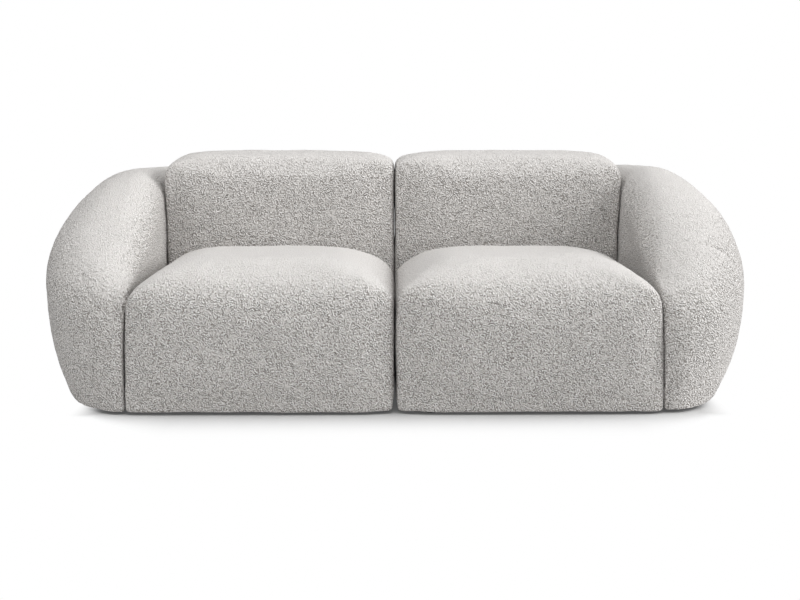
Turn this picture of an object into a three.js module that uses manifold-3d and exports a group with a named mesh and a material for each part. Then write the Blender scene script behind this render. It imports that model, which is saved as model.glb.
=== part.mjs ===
// A curved sofa in two halves. Each half has a seat block, a back cushion and an arm that wraps round
// into the outside back, all upholstered over timber, plywood, foam and sinuous springs. The halves
// hook together at the middle. Millimetres; the front faces -Y, +Z is up, and the origin is on the
// floor under the middle of the sofa. Everything is drawn for the right half, and the left is its mirror.
import * as THREE from "three";
import { mergeVertices } from "three/addons/utils/BufferGeometryUtils.js";
import Module from "manifold-3d";

const wasm = await Module();
wasm.setup();

// Whole sofa
const sofaWidth = 2350;
const sofaDepth = 1000;
const middleGap = 6; // between the covers of the two halves
const blockWidth = 789; // a seat block, and the back cushion behind it
const footHeight = 16;
const coverThickness = 12; // looped fabric with its wadding
const fit = 0.3; // clearance between pieces that touch
const overrun = 5; // how far a cutting shape runs past what it cuts
const weldDistance = 0.003; // corners nearer than this are one

// Seat block
const seatDepth = 595;
const seatTop = 438;
const seatCrown = 18;
const seatCornerRadius = 38;
const seatHemRadius = 10;
const seatFrontRoll = 135;
const seatRearRoll = 26;
const seatSideRoll = 175;
const seatRollDrop = 105;
const seatFrontBulge = 12;

// Back cushion
const cushionTop = 753;
const cushionCrown = 12;
const cushionCornerRadius = 34;
const cushionHemRadius = 12;
const cushionFrontRoll = 75;
const cushionRearRoll = 60;
const cushionInnerRoll = 62;
const cushionOuterRoll = 118;
const cushionRollDrop = 74;
const cushionFrontBulge = 16;
const cushionLean = 42; // how far the top of its front face stands behind the bottom

// Arm and outside back
const armSetback = 6; // the arm's nose behind the seat's front
const armNoseRadius = 34;
const armFanSetback = 165; // from the nose's face back to where the arm's inner wall starts
const armMiddleShare = 0.59; // of the depth, from the front to where the arm is widest
const armInnerMiddleShare = 0.54; // to where the widest section meets the inner wall
const armShoulderShare = 0.715; // to where the arm reaches its full height
const noseHeight = 392;
const shoulderHeight = 716;
const noseDrop = 10; // from the crest down to the top of the inner wall
const sideDrop = 112;
const backDrop = 26;
const noseWaist = 205; // height of the widest level
const sideWaist = 325;
const noseTuckShare = 0.084; // of the arm's width that the lower side draws in
const sideTuckShare = 0.47;
const backTuckShare = 0.31; // of the outside back's thickness
const noseCrestShare = 0.08; // where the crest lies, across the arm
const sideCrestShare = 0.34;
const backCrestShare = 0.45;
const backRollShare = 0.32; // share of the height over the waist that the outer roll takes
const outsideBackThickness = 128;
const backEndRadius = 22;
const rollPower = 1.02; // over 1 makes the outer roll slimmer than an ellipse
const fanPower = 1.6; // over 1 keeps the front sections close together at the inner wall
const tuckAngle = 1.16; // how much of a circle the lower side turns through, in radians
const narrowTuckShare = 0.5; // of its tuck that a section without width would keep

// Padding
const seatSidePad = 25;
const seatFrontPad = 36;
const armInnerPad = 25;
const armOuterPadShare = 0.152; // of the arm's width
const armTopPad = 62;
const outsideBackPad = 30;

// Timber and plywood
const railThickness = 25;
const railHeight = 120;
const middleRailInset = 22; // from the seat cover's rear wall to the middle rail
const plateThickness = 18;
const panelThickness = 18;
const panelTopGap = 58; // below the top of the outside back
const panelSideGap = 30;
const windowWidth = 178;
const windowHeight = 330;
const windowRadius = 40;
const windowCount = 3;
const armRailHeight = 96;
const armPlateRearShare = 0.825; // of the depth, from the front
const ribFrontShare = 0.31;
const ribRearShare = 0.66;

// Springs
const springCount = 4;
const springBends = 9;
const springWire = 3.8;
const springWidth = 46;
const springArch = 22;
const springBendShare = 0.33; // of the pitch that each side of a bend takes from the straight
const wireSides = 5;
const hollowSteps = 8;

// Feet
const footTopRadius = 30;
const footBottomRadius = 25;
const footFlange = 6;
const shankRadius = 4;
const shankLength = 26;
const footInset = 44; // from a rail's end to the foot's centre
const armFootFrontShare = 0.225; // of the depth, from the front
const armFootRearShare = 0.785;

// Arm bolts
const boltRadius = 4;
const boltHeadRadius = 9;
const boltHeadHeight = 5;
const boltHeadChamfer = 1.5;
const boltHeight = 98; // above the floor
const boltRibGap = 50; // from a rib to the bolt behind it
const boltTail = 8; // past the arm's rail

// Dust cover
const dustThickness = 1.2;
const dustInset = 16;

// The hook that holds the halves together
const hookThickness = 4;
const hookWidth = 70;
const hookPlateHeight = 56;
const hookDrop = 34; // how deep the tongue sits in the socket
const hookTopHeight = 78;

// How finely round pieces are faceted
const footSides = 14;
const boltSides = 12;
const holeSides = 10;
const cornerSteps = 2; // on a window's corner

// Colours and finishes
const finishes = {
  boucle: { color: 0xd9d6d1, roughness: 0.95, metalness: 0 },
  foam: { color: 0xe9dfb4, roughness: 0.9, metalness: 0 },
  timber: { color: 0xc9a26b, roughness: 0.7, metalness: 0 },
  plywood: { color: 0xd2b07c, roughness: 0.65, metalness: 0 },
  springSteel: { color: 0x8b8d90, roughness: 0.4, metalness: 0.9 },
  zincSteel: { color: 0xb9bcc0, roughness: 0.35, metalness: 0.9 },
  blackPlastic: { color: 0x1c1c1d, roughness: 0.55, metalness: 0 },
  dustCloth: { color: 0x232324, roughness: 0.95, metalness: 0 },
};

// Places that several pieces share
const frontY = -sofaDepth / 2;
const rearY = sofaDepth / 2;
const alongDepth = (share) => frontY + sofaDepth * share;
const innerX = middleGap / 2;
const outerX = innerX + blockWidth;
const armInnerX = outerX + fit;
const armOuterX = sofaWidth / 2;
const armWidth = armOuterX - armInnerX;
const armMiddleY = alongDepth(armMiddleShare);
const armInnerMiddleY = alongDepth(armInnerMiddleShare);
const armShoulderY = alongDepth(armShoulderShare);
const armPlateRearY = alongDepth(armPlateRearShare);
const ribFrontY = alongDepth(ribFrontShare);
const ribRearY = alongDepth(ribRearShare);
const armOuterPad = armOuterPadShare * armWidth;
const noseTuck = noseTuckShare * armWidth;
const sideTuck = sideTuckShare * armWidth;
const backTuck = backTuckShare * outsideBackThickness;
const seatRearY = frontY + seatDepth;
const dustBottom = footHeight;
const hemHeight = dustBottom + dustThickness + fit;
const railBottom = hemHeight;
const railTop = railBottom + railHeight;
const backInnerY = rearY - outsideBackThickness;
const cushionFrontY = seatRearY + fit;
const cushionRearY = backInnerY - fit;
const cushionBottom = railTop + fit;

// ---------- solids

// A closed geometry as a solid, turned to face outwards.
function solidOf(geometry) {
  const plain = geometry.index ? geometry.clone() : geometry;
  plain.deleteAttribute("normal");
  plain.deleteAttribute("uv");
  const merged = mergeVertices(plain, weldDistance);
  const triVerts = new Uint32Array(merged.index.array);
  const build = () =>
    new wasm.Manifold(
      new wasm.Mesh({ numProp: 3, vertProperties: merged.attributes.position.array, triVerts }),
    );
  const solid = build();
  if (solid.volume() > 0) return solid;
  triVerts.reverse();
  return build();
}

function geometryOf(solid) {
  const mesh = solid.getMesh();
  const geometry = new THREE.BufferGeometry();
  geometry.setAttribute("position", new THREE.BufferAttribute(mesh.vertProperties, mesh.numProp));
  geometry.setIndex(new THREE.BufferAttribute(mesh.triVerts, 1));
  geometry.computeVertexNormals();
  return geometry;
}

// A box between two corners.
function boxBetween(low, high) {
  const size = high.map((value, axis) => value - low[axis]);
  const middle = high.map((value, axis) => (value + low[axis]) / 2);
  return solidOf(new THREE.BoxGeometry(...size).translate(...middle));
}

// A profile of [radius, height] pairs turned about a vertical line, from one end of the line to the other.
function turned(profile, sides) {
  const points = profile.map(([radius, height]) => new THREE.Vector2(radius, height));
  return new THREE.LatheGeometry(points, sides).rotateX(Math.PI / 2);
}

// A rod along Z from one height to another.
function rod(radius, low, high) {
  return turned([[0, low], [radius, low], [radius, high], [0, high]], holeSides);
}

// A closed surface over rings of equal count, with a fan at each end.
function loft(rings) {
  const count = rings[0].length;
  const points = rings.flat();
  const last = (rings.length - 1) * count;
  const index = [];
  for (let ring = 0; ring < last; ring += count) {
    for (let i = 0; i < count; i++) {
      const next = (i + 1) % count;
      index.push(ring + i, ring + next, ring + count + next);
      index.push(ring + i, ring + count + next, ring + count + i);
    }
  }
  for (const [start, turn] of [[0, true], [last, false]]) {
    const centre = new THREE.Vector3();
    for (let i = 0; i < count; i++) centre.addScaledVector(points[start + i], 1 / count);
    points.push(centre);
    for (let i = 0; i < count; i++) {
      const pair = [start + i, start + ((i + 1) % count)];
      index.push(points.length - 1, ...(turn ? pair.reverse() : pair));
    }
  }
  const geometry = new THREE.BufferGeometry().setFromPoints(points);
  geometry.setIndex(index);
  return solidOf(geometry);
}

// ---------- seat and cushion blocks

// A rectangle with round corners at one height, as a ring of points.
function roundedRing(left, right, front, rear, radius, height, steps) {
  const limit = Math.min(radius, (right - left) / 2 - fit, (rear - front) / 2 - fit);
  const corners = [
    [right - limit, front + limit, -Math.PI / 2, steps.y],
    [right - limit, rear - limit, 0, steps.x],
    [left + limit, rear - limit, Math.PI / 2, steps.y],
    [left + limit, front + limit, Math.PI, steps.x],
  ];
  const ring = [];
  corners.forEach(([x, y, start, sideSteps], corner) => {
    for (let i = 0; i <= steps.corner; i++) {
      const angle = start + ((Math.PI / 2) * i) / steps.corner;
      ring.push(new THREE.Vector3(x + limit * Math.cos(angle), y + limit * Math.sin(angle), height));
    }
    const [nextX, nextY, nextStart] = corners[(corner + 1) % corners.length];
    const from = ring.at(-1).clone();
    const to = new THREE.Vector3(
      nextX + limit * Math.cos(nextStart),
      nextY + limit * Math.sin(nextStart),
      height,
    );
    for (let i = 1; i < sideSteps; i++) ring.push(from.clone().lerp(to, i / sideSteps));
  });
  return ring;
}

// A block drawn in by a distance all round, apart from its bottom.
function drawnIn(block, distance) {
  return {
    ...block,
    left: block.left + distance,
    right: block.right - distance,
    front: block.front + distance,
    rear: block.rear - distance,
    top: block.top - distance,
  };
}

// A soft block: a round hem, slightly swollen sides, rolled top edges and a crown. An open block runs on
// downwards past its hem, so that it cuts a mouth.
function softBlock(block, steps, open = false) {
  const rings = [];
  const addRing = (share, height) => {
    const left = block.left + share * block.innerRoll;
    const right = block.right - share * block.outerRoll;
    const front = block.front + share * block.frontRoll;
    const rear = block.rear - share * block.rearRoll;
    const radius = block.cornerRadius + share * block.frontRoll;
    rings.push(roundedRing(left, right, front, rear, radius, height, steps));
  };
  const addHem = (inset, height) => {
    const { left, right, front, rear } = block;
    rings.push(
      roundedRing(
        left + inset, right - inset, front + inset, rear - inset, block.cornerRadius, height, steps,
      ),
    );
  };
  if (open) addHem(block.hemRadius, block.bottom - overrun);
  for (let i = 0; i <= steps.hem; i++) {
    const angle = ((Math.PI / 2) * i) / steps.hem;
    addHem(block.hemRadius * (1 - Math.sin(angle)), block.bottom + block.hemRadius * (1 - Math.cos(angle)));
  }
  const sideLow = block.bottom + block.hemRadius;
  const sideHigh = block.top - block.rollDrop;
  for (let i = 1; i < steps.side; i++) addHem(0, sideLow + ((sideHigh - sideLow) * i) / steps.side);
  for (let i = 0; i <= steps.roll; i++) {
    const angle = ((Math.PI / 2) * i) / steps.roll;
    addRing(1 - Math.cos(angle), sideHigh + block.rollDrop * Math.sin(angle));
  }
  const rim = rings.at(-1);
  const [middleX, middleY] = [(block.left + block.right) / 2, (block.front + block.rear) / 2];
  const centre = new THREE.Vector3(middleX, middleY, block.top);
  for (let i = 1; i <= steps.top; i++) {
    rings.push(rim.map((point) => point.clone().lerp(centre, i / (steps.top + 1))));
  }
  for (const ring of rings) for (const point of ring) swell(point, block);
  return loft(rings);
}

// Moves a point of a block by its crown, its bulging front and its lean.
function swell(point, block) {
  const across = (2 * (point.x - block.left)) / (block.right - block.left) - 1;
  const along = (2 * (point.y - block.front)) / (block.rear - block.front) - 1;
  const up = (2 * (point.z - block.bottom)) / (block.top - block.bottom) - 1;
  const climb = THREE.MathUtils.clamp((up + 1) / 2, 0, 1);
  const frontness = (1 - along) / 2;
  const broad = Math.max(0, 1 - across ** 4);
  point.z += block.crown * broad * Math.max(0, 1 - along ** 4) * climb ** 4;
  point.y -= block.bulge * broad * Math.max(0, 1 - up ** 2) * frontness;
  point.y += block.lean * climb * frontness;
}

const coverSteps = { x: 6, y: 5, corner: 3, hem: 1, side: 2, roll: 5, top: 2 };
const coreSteps = { x: 4, y: 3, corner: 2, hem: 1, side: 1, roll: 3, top: 1 };

const seatShape = {
  left: innerX,
  right: outerX,
  front: frontY + seatFrontBulge,
  rear: seatRearY,
  bottom: hemHeight,
  top: seatTop,
  crown: seatCrown,
  cornerRadius: seatCornerRadius,
  hemRadius: seatHemRadius,
  frontRoll: seatFrontRoll,
  rearRoll: seatRearRoll,
  innerRoll: seatSideRoll,
  outerRoll: seatSideRoll,
  rollDrop: seatRollDrop,
  bulge: seatFrontBulge,
  lean: 0,
};

// The share of its height where the cushion's front stands furthest forward, and the room that it needs.
const cushionFullestShare = Math.max(0, 0.5 - cushionLean / (8 * cushionFrontBulge));
const cushionFrontRoom = 4 * cushionFrontBulge * cushionFullestShare ** 2;

const cushionShape = {
  left: innerX,
  right: outerX,
  front: cushionFrontY + cushionFrontRoom,
  rear: cushionRearY,
  bottom: cushionBottom,
  top: cushionTop,
  crown: cushionCrown,
  cornerRadius: cushionCornerRadius,
  hemRadius: cushionHemRadius,
  frontRoll: cushionFrontRoll,
  rearRoll: cushionRearRoll,
  innerRoll: cushionInnerRoll,
  outerRoll: cushionOuterRoll,
  rollDrop: cushionRollDrop,
  bulge: cushionFrontBulge,
  lean: cushionLean,
};

// ---------- arm and outside back

const blend = (from, to, share) => from + (to - from) * share;
const quarterSine = (share) => Math.sin((Math.PI / 2) * THREE.MathUtils.clamp(share, 0, 1));

// One section of the arm as [distance out from the inner wall, height] pairs, over the top and down the
// outer side. The widths and heights come from the station.
function armSection(station, steps, bottom) {
  const { width, crest, height, innerTop, waist, tuck, rollTop } = station;
  const points = [[0, bottom], [0, innerTop]];
  for (let i = 1; i <= steps.inner; i++) {
    const angle = ((Math.PI / 2) * i) / steps.inner;
    points.push([crest * (1 - Math.cos(angle)), innerTop + (height - innerTop) * Math.sin(angle)]);
  }
  for (let i = 1; i <= steps.outer; i++) {
    const angle = ((Math.PI / 2) * i) / steps.outer;
    const out = Math.sin(angle) ** rollPower;
    const up = Math.max(0, Math.cos(angle)) ** rollPower;
    points.push([blend(crest, width, out), blend(rollTop, height, up)]);
  }
  points.push([width, waist - fit]);
  const reach = (waist - bottom) / Math.sin(tuckAngle);
  for (let i = 1; i <= steps.lower; i++) {
    const angle = (tuckAngle * i) / steps.lower;
    points.push([width - tuck * (1 - Math.cos(angle)), waist - reach * Math.sin(angle)]);
  }
  return points;
}

// The arm as a solid from its nose round to the outside back, drawn in from its outer size by the insets.
// The stations run over the nose and the front quarter from 0 to 1, and over the rear quarter from 1 to 2.
function armSolid(inset, steps, { end = 2, open = false } = {}) {
  const wallX = armInnerX + inset.inner;
  const reachX = armOuterX - inset.outer - wallX;
  const noseY = frontY + armSetback + inset.outer;
  const tailY = rearY - inset.outer;
  const fanY = frontY + armSetback + armFanSetback + inset.inner;
  const noseRadius = Math.max(armNoseRadius - inset.outer, overrun);
  const backY = backInnerY + inset.inner;

  const stationAt = (place) => {
    const front = place <= 1;
    const turn = (Math.PI / 2) * (front ? place : 2 - place);
    const outX = wallX + reachX * Math.sin(turn);
    let outY = front
      ? armMiddleY - (armMiddleY - noseY) * Math.cos(turn)
      : armMiddleY + (tailY - armMiddleY) * Math.cos(turn);
    const fromWall = outX - wallX;
    if (front && fromWall < noseRadius) {
      outY += noseRadius - Math.sqrt(noseRadius ** 2 - (noseRadius - fromWall) ** 2);
    }
    const wallY = front
      ? blend(fanY, armInnerMiddleY, place ** fanPower)
      : blend(armInnerMiddleY, backY, quarterSine(place - 1));
    const side = front ? quarterSine(place) : 1;
    const back = front ? 0 : THREE.MathUtils.smoothstep(place - 1, 0, 1);
    const rise = quarterSine((wallY - fanY) / (armShoulderY - fanY));
    const width = Math.hypot(outX - wallX, outY - wallY);
    const height = blend(noseHeight, shoulderHeight, rise) - inset.top;
    const waist = Math.min(blend(noseWaist, sideWaist, side), height - overrun);
    const rollHeight = (height - waist) * blend(1, backRollShare, back);
    const tuckShare = Math.min(1, width / reachX + narrowTuckShare);
    return {
      wall: new THREE.Vector2(wallX, wallY),
      out: new THREE.Vector2(outX - wallX, outY - wallY).normalize(),
      width,
      height,
      crest: width * blend(blend(noseCrestShare, sideCrestShare, side), backCrestShare, back),
      innerTop: height - blend(blend(noseDrop, sideDrop, side), backDrop, back),
      waist,
      tuck: blend(blend(noseTuck, sideTuck, side ** 2), backTuck, back) * tuckShare,
      rollTop: height - rollHeight,
    };
  };

  const places = steps.noseShares.filter((place) => place <= end);
  const after = places.at(-1);
  for (let i = 1; i <= steps.stations; i++) places.push(blend(after, end, i / steps.stations));
  const rings = places.map((place) => sectionRing(stationAt(place), steps, open));
  if (open && end === 2) rings.push(rings.at(-1).map((point) => point.clone().setX(armInnerX - overrun)));
  return loft(rings);
}

// A station's section stood up in the room, with its bottom carried down when it is to cut a mouth.
function sectionRing(station, steps, open) {
  const section = armSection(station, steps, hemHeight);
  if (open) {
    section.push([section.at(-1)[0], hemHeight - overrun]);
    section.unshift([0, hemHeight - overrun]);
  }
  return section.map(
    ([out, height]) =>
      new THREE.Vector3(
        station.wall.x + station.out.x * out,
        station.wall.y + station.out.y * out,
        height,
      ),
  );
}

// The outside back as a straight run of the arm's last section, with a small round at the sofa's middle.
function backSolid(inset, steps, { from = innerX, to = outerX, round = 0, open = false } = {}) {
  const width = outsideBackThickness - 2 * inset;
  const height = shoulderHeight - inset;
  const rollHeight = (height - sideWaist) * backRollShare;
  const ringAt = (x, drawn) => {
    const station = {
      wall: new THREE.Vector2(x, backInnerY + inset + drawn),
      out: new THREE.Vector2(0, 1),
      width: width - 2 * drawn,
      height: height - drawn,
      crest: (width - 2 * drawn) * backCrestShare,
      innerTop: height - drawn - backDrop,
      waist: sideWaist,
      tuck: backTuck,
      rollTop: height - drawn - rollHeight,
    };
    return sectionRing(station, steps, open);
  };
  const rings = [];
  if (round > 0) {
    for (let i = 0; i < steps.round; i++) {
      const angle = ((Math.PI / 2) * i) / steps.round;
      rings.push(ringAt(from + round * (1 - Math.cos(angle)), round * (1 - Math.sin(angle))));
    }
    rings.push(ringAt(from + round, 0));
  } else {
    rings.push(ringAt(from, 0));
  }
  for (let i = 1; i <= steps.length; i++) rings.push(ringAt(blend(from + round, to, i / steps.length), 0));
  return loft(rings);
}

const armCoverSteps = {
  noseShares: [0, 0.012, 0.035, 0.065, 0.12, 0.2, 0.3, 0.41, 0.53],
  stations: 14,
  inner: 5,
  outer: 8,
  lower: 5,
};
const armCoreSteps = { noseShares: [0, 0.05, 0.13, 0.28], stations: 9, inner: 3, outer: 5, lower: 3 };
const pocketSteps = { noseShares: [0, 0.1], stations: 6, inner: 2, outer: 3, lower: 2 };
const backSteps = { length: 3, round: 3, inner: 5, outer: 8, lower: 5 };
const backCoreSteps = { length: 1, round: 1, inner: 2, outer: 3, lower: 2 };

const evenly = (distance) => ({ inner: distance, outer: distance, top: distance });

// ---------- frame places

const padStart = coverThickness + fit;
const innerRail = { low: innerX + padStart + seatSidePad };
innerRail.high = innerRail.low + railThickness;
const outerRail = { high: outerX - padStart - seatSidePad };
outerRail.low = outerRail.high - railThickness;
const frontRail = { low: frontY + seatFrontBulge + padStart + seatFrontPad };
frontRail.high = frontRail.low + railThickness;
const middleRail = { high: seatRearY - coverThickness - middleRailInset };
middleRail.low = middleRail.high - railThickness;
const backPanelPlace = { high: rearY - padStart - outsideBackPad };
backPanelPlace.low = backPanelPlace.high - panelThickness;
const rearRail = { high: backPanelPlace.low - fit };
rearRail.low = rearRail.high - railThickness;
const armRail = { low: armInnerX + padStart + armInnerPad + fit };
armRail.high = armRail.low + railThickness;
const platePad = { inner: padStart + armInnerPad, outer: padStart + armOuterPad, top: padStart + armTopPad };
const pocketEndShare = 1.62; // along the arm's stations, where the hollow for its frame stops
const springRun = {
  low: (frontRail.low + frontRail.high) / 2,
  high: (middleRail.low + middleRail.high) / 2,
};
const boltPlaces = [ribFrontY, ribRearY].map((y) => y + plateThickness + boltRibGap);
const armFootX = (armRail.low + armRail.high) / 2;
const footPlaces = {
  front_inner: [innerRail.high + footInset, (frontRail.low + frontRail.high) / 2],
  rear_inner: [innerRail.high + footInset, (rearRail.low + rearRail.high) / 2],
  front_outer: [armFootX, alongDepth(armFootFrontShare)],
  rear_outer: [armFootX, alongDepth(armFootRearShare)],
};

// ---------- frame pieces

// A rail between two places on X and two on Y, standing on the dust cover.
function rail(x, y, height = railHeight, low = railBottom) {
  return boxBetween([x.low, y.low, low], [x.high, y.high, low + height]);
}

const sideRailRun = { low: frontRail.low, high: rearRail.low - fit };
const crossRun = { low: innerRail.high + fit, high: outerRail.low - fit };

// The places of the springs across the seat.
const springPlaces = Array.from({ length: springCount }, (_, i) =>
  blend(crossRun.low, crossRun.high, (i + 0.5) / springCount),
);

// The height of a spring's centre line at a share of its run: it lies in the rails' tops and arches between.
const springHeightAt = (share) => railTop - springWire / 2 + springArch * Math.sin(Math.PI * share);

// The centre line of a sinuous spring: parallel wires joined by round ends, arched from rail to rail.
class SinuousLine extends THREE.Curve {
  constructor(x) {
    super();
    this.nodes = [];
    const pitch = (springRun.high - springRun.low) / springBends;
    const half = springWidth / 2;
    const straight = half - pitch * springBendShare;
    for (let bend = 0; bend <= springBends; bend++) {
      const side = bend % 2 ? 1 : -1;
      this.nodes.push(this.node(x - side * straight, bend / springBends));
      this.nodes.push(this.node(x + side * straight, bend / springBends));
      if (bend < springBends) this.nodes.push(this.node(x + side * half, (bend + 0.5) / springBends));
    }
  }
  node(x, share) {
    return new THREE.Vector3(x, blend(springRun.low, springRun.high, share), springHeightAt(share));
  }
  getPoint(t) {
    const place = t * (this.nodes.length - 1);
    const before = Math.min(Math.floor(place), this.nodes.length - 2);
    return this.nodes[before].clone().lerp(this.nodes[before + 1], place - before);
  }
  getPointAt(u) {
    return this.getPoint(u);
  }
  getTangentAt(u) {
    const step = 1 / (this.nodes.length - 1);
    return this.getPoint(Math.min(1, u + step)).sub(this.getPoint(Math.max(0, u - step))).normalize();
  }
}

function spring(x) {
  const line = new SinuousLine(x);
  const wire = new THREE.Shape();
  for (let i = 0; i < wireSides; i++) {
    const angle = (2 * Math.PI * i) / wireSides;
    const point = [(springWire / 2) * Math.cos(angle), (springWire / 2) * Math.sin(angle)];
    if (i) wire.lineTo(...point);
    else wire.moveTo(...point);
  }
  wire.closePath();
  const options = { steps: line.nodes.length - 1, bevelEnabled: false, extrudePath: line };
  return solidOf(new THREE.ExtrudeGeometry(wire, options));
}

// The hollow under the foam that the springs arch up into, as a solid across the frame.
function springHollow() {
  const outline = new THREE.Shape();
  const reach = springWire / 2 + fit;
  outline.moveTo(springRun.low - reach, railBottom);
  for (let i = 0; i <= hollowSteps; i++) {
    const share = i / hollowSteps;
    const y = blend(springRun.low - reach, springRun.high + reach, share);
    outline.lineTo(y, springHeightAt(share) + reach + springWire * Math.sin(Math.PI * share));
  }
  outline.lineTo(springRun.high + reach, railBottom);
  outline.closePath();
  const width = crossRun.high - crossRun.low;
  const geometry = new THREE.ExtrudeGeometry(outline, { depth: width, bevelEnabled: false });
  return solidOf(geometry.rotateX(Math.PI / 2).rotateZ(Math.PI / 2).translate(crossRun.low, 0, 0));
}

// Grooves across the top of a rail, one under each spring's end wire.
function springGrooves(y) {
  const middle = (y.low + y.high) / 2;
  return springPlaces.map((x) =>
    boxBetween(
      [x - springWidth / 2 - fit, middle - springWire / 2 - fit, railTop - springWire - fit],
      [x + springWidth / 2 + fit, middle + springWire / 2 + fit, railTop + overrun],
    ),
  );
}

// A groove is open to the seat, so that the first bend can leave it.
function springMouths(y, inward) {
  const middle = (y.low + y.high) / 2;
  const edge = inward > 0 ? y.high + overrun : y.low - overrun;
  return springPlaces.map((x) =>
    boxBetween(
      [x - springWidth / 2 - springWire, Math.min(middle, edge), railTop - springWire - fit],
      [x + springWidth / 2 + springWire, Math.max(middle, edge), railTop + overrun],
    ),
  );
}

const cut = (solid, tools) => tools.reduce((rest, tool) => rest.subtract(tool), solid);

// The shank of a foot, as the hole that it needs.
function shankHole([x, y]) {
  const hole = rod(shankRadius + fit, footHeight - overrun, footHeight + shankLength + overrun);
  return solidOf(hole.translate(x, y, 0));
}

function foot([x, y]) {
  const top = footHeight - fit;
  const profile = [
    [0, 0],
    [footBottomRadius, 0],
    [footTopRadius, top - footFlange],
    [footTopRadius, top],
    [shankRadius, top],
    [shankRadius, footHeight + shankLength],
    [0, footHeight + shankLength],
  ];
  return solidOf(turned(profile, footSides).translate(x, y, 0));
}

// A bolt along X from inside the seat's outer rail to past the arm's rail.
function armBolt(y) {
  const start = outerRail.low - fit;
  const profile = [
    [0, start - boltHeadHeight],
    [boltHeadRadius - boltHeadChamfer, start - boltHeadHeight],
    [boltHeadRadius, start - boltHeadHeight + boltHeadChamfer],
    [boltHeadRadius, start],
    [boltRadius, start],
    [boltRadius, armRail.high + boltTail],
    [0, armRail.high + boltTail],
  ];
  return solidOf(turned(profile, boltSides).rotateY(Math.PI / 2).translate(0, y, boltHeight));
}

const boltHoles = boltPlaces.map((y) =>
  solidOf(
    rod(boltRadius + fit, outerRail.low - overrun, armRail.high + boltTail + fit)
      .rotateY(Math.PI / 2)
      .translate(0, y, boltHeight),
  ),
);

// Room for the two side rails, to cut through the covers that they pass.
const sideRailHoles = [innerRail, outerRail].map((x) =>
  boxBetween(
    [x.low - fit, sideRailRun.low - fit, railBottom - overrun],
    [x.high + fit, rearRail.high + fit, railTop + fit],
  ),
);

// The plywood panel in the outside back, with round-cornered windows that save weight.
function backPanel() {
  const low = { x: innerX + padStart + panelSideGap, z: railBottom };
  const high = { x: outerX - panelSideGap, z: shoulderHeight - panelTopGap };
  const outline = new THREE.Shape();
  outline.moveTo(low.x, low.z);
  outline.lineTo(high.x, low.z);
  outline.lineTo(high.x, high.z);
  outline.lineTo(low.x, high.z);
  outline.closePath();
  for (let i = 0; i < windowCount; i++) {
    const x = blend(low.x, high.x, (i + 0.5) / windowCount);
    outline.holes.push(panelWindow(x, (railTop + high.z) / 2));
  }
  const options = { depth: panelThickness, bevelEnabled: false, curveSegments: cornerSteps };
  const geometry = new THREE.ExtrudeGeometry(outline, options);
  return solidOf(geometry.rotateX(Math.PI / 2).translate(0, backPanelPlace.high, 0));
}

function panelWindow(x, z) {
  const flatX = windowWidth / 2 - windowRadius;
  const flatZ = windowHeight / 2 - windowRadius;
  const quarter = Math.PI / 2;
  const path = new THREE.Path();
  path.absarc(x + flatX, z - flatZ, windowRadius, -quarter, 0);
  path.absarc(x + flatX, z + flatZ, windowRadius, 0, quarter);
  path.absarc(x - flatX, z + flatZ, windowRadius, quarter, 2 * quarter);
  path.absarc(x - flatX, z - flatZ, windowRadius, 2 * quarter, 3 * quarter);
  path.closePath();
  return path;
}

// What the plywood of the arm is cut from: the pocket in its padding, less a clearance.
const armPocket = armSolid(
  { inner: platePad.inner + fit, outer: platePad.outer + fit, top: platePad.top + fit },
  pocketSteps,
  { end: pocketEndShare, open: true },
);
const armRailRun = { low: footPlaces.front_outer[1] - footInset, high: armPlateRearY };
const armFootHoles = [footPlaces.front_outer, footPlaces.rear_outer].map(shankHole);
const plateTop = railBottom + plateThickness;

function armPlate() {
  const slab = boxBetween([armInnerX, frontY, railBottom], [armOuterX, armPlateRearY, plateTop]);
  return cut(armPocket.intersect(slab), armFootHoles);
}

// A plywood rib across the arm, notched over the arm's rail.
function armRib(y) {
  const slab = boxBetween([armInnerX, y, plateTop + fit], [armOuterX, y + plateThickness, shoulderHeight]);
  const notch = boxBetween(
    [armInnerX, y - overrun, plateTop - overrun],
    [armRail.high + fit, y + plateThickness + overrun, plateTop + fit + armRailHeight + fit],
  );
  return armPocket.intersect(slab).subtract(notch);
}

// ---------- upholstery

function seatCover() {
  const mouth = softBlock(drawnIn(seatShape, coverThickness), coreSteps, true);
  return cut(softBlock(seatShape, coverSteps), [mouth, ...sideRailHoles, ...boltHoles]);
}

function seatFoam() {
  const frame = boxBetween(
    [innerRail.low - fit, frontRail.low - fit, railBottom - overrun],
    [outerRail.high + fit, seatRearY, railTop + fit],
  );
  return cut(softBlock(drawnIn(seatShape, padStart), coreSteps), [frame, springHollow(), ...boltHoles]);
}

function cushionCover() {
  const mouth = softBlock(drawnIn(cushionShape, coverThickness), coreSteps, true);
  return softBlock(cushionShape, coverSteps).subtract(mouth);
}

function cushionFoam() {
  return softBlock(drawnIn(cushionShape, padStart), coreSteps);
}

function armCover() {
  const shell = armSolid(evenly(0), armCoverSteps).subtract(
    armSolid(evenly(coverThickness), armCoreSteps, { open: true }),
  );
  return cut(shell, boltHoles);
}

function armFoam() {
  const pocket = armSolid(platePad, pocketSteps, { end: pocketEndShare, open: true });
  const core = armSolid(evenly(padStart), armCoreSteps);
  return cut(core.subtract(pocket), boltHoles);
}

function outsideBackCover() {
  const mouth = backSolid(coverThickness, backCoreSteps, {
    from: innerX + coverThickness,
    to: armInnerX + overrun,
    open: true,
  });
  const shell = backSolid(0, backSteps, { to: armInnerX - fit, round: backEndRadius }).subtract(mouth);
  return cut(shell, sideRailHoles);
}

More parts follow.
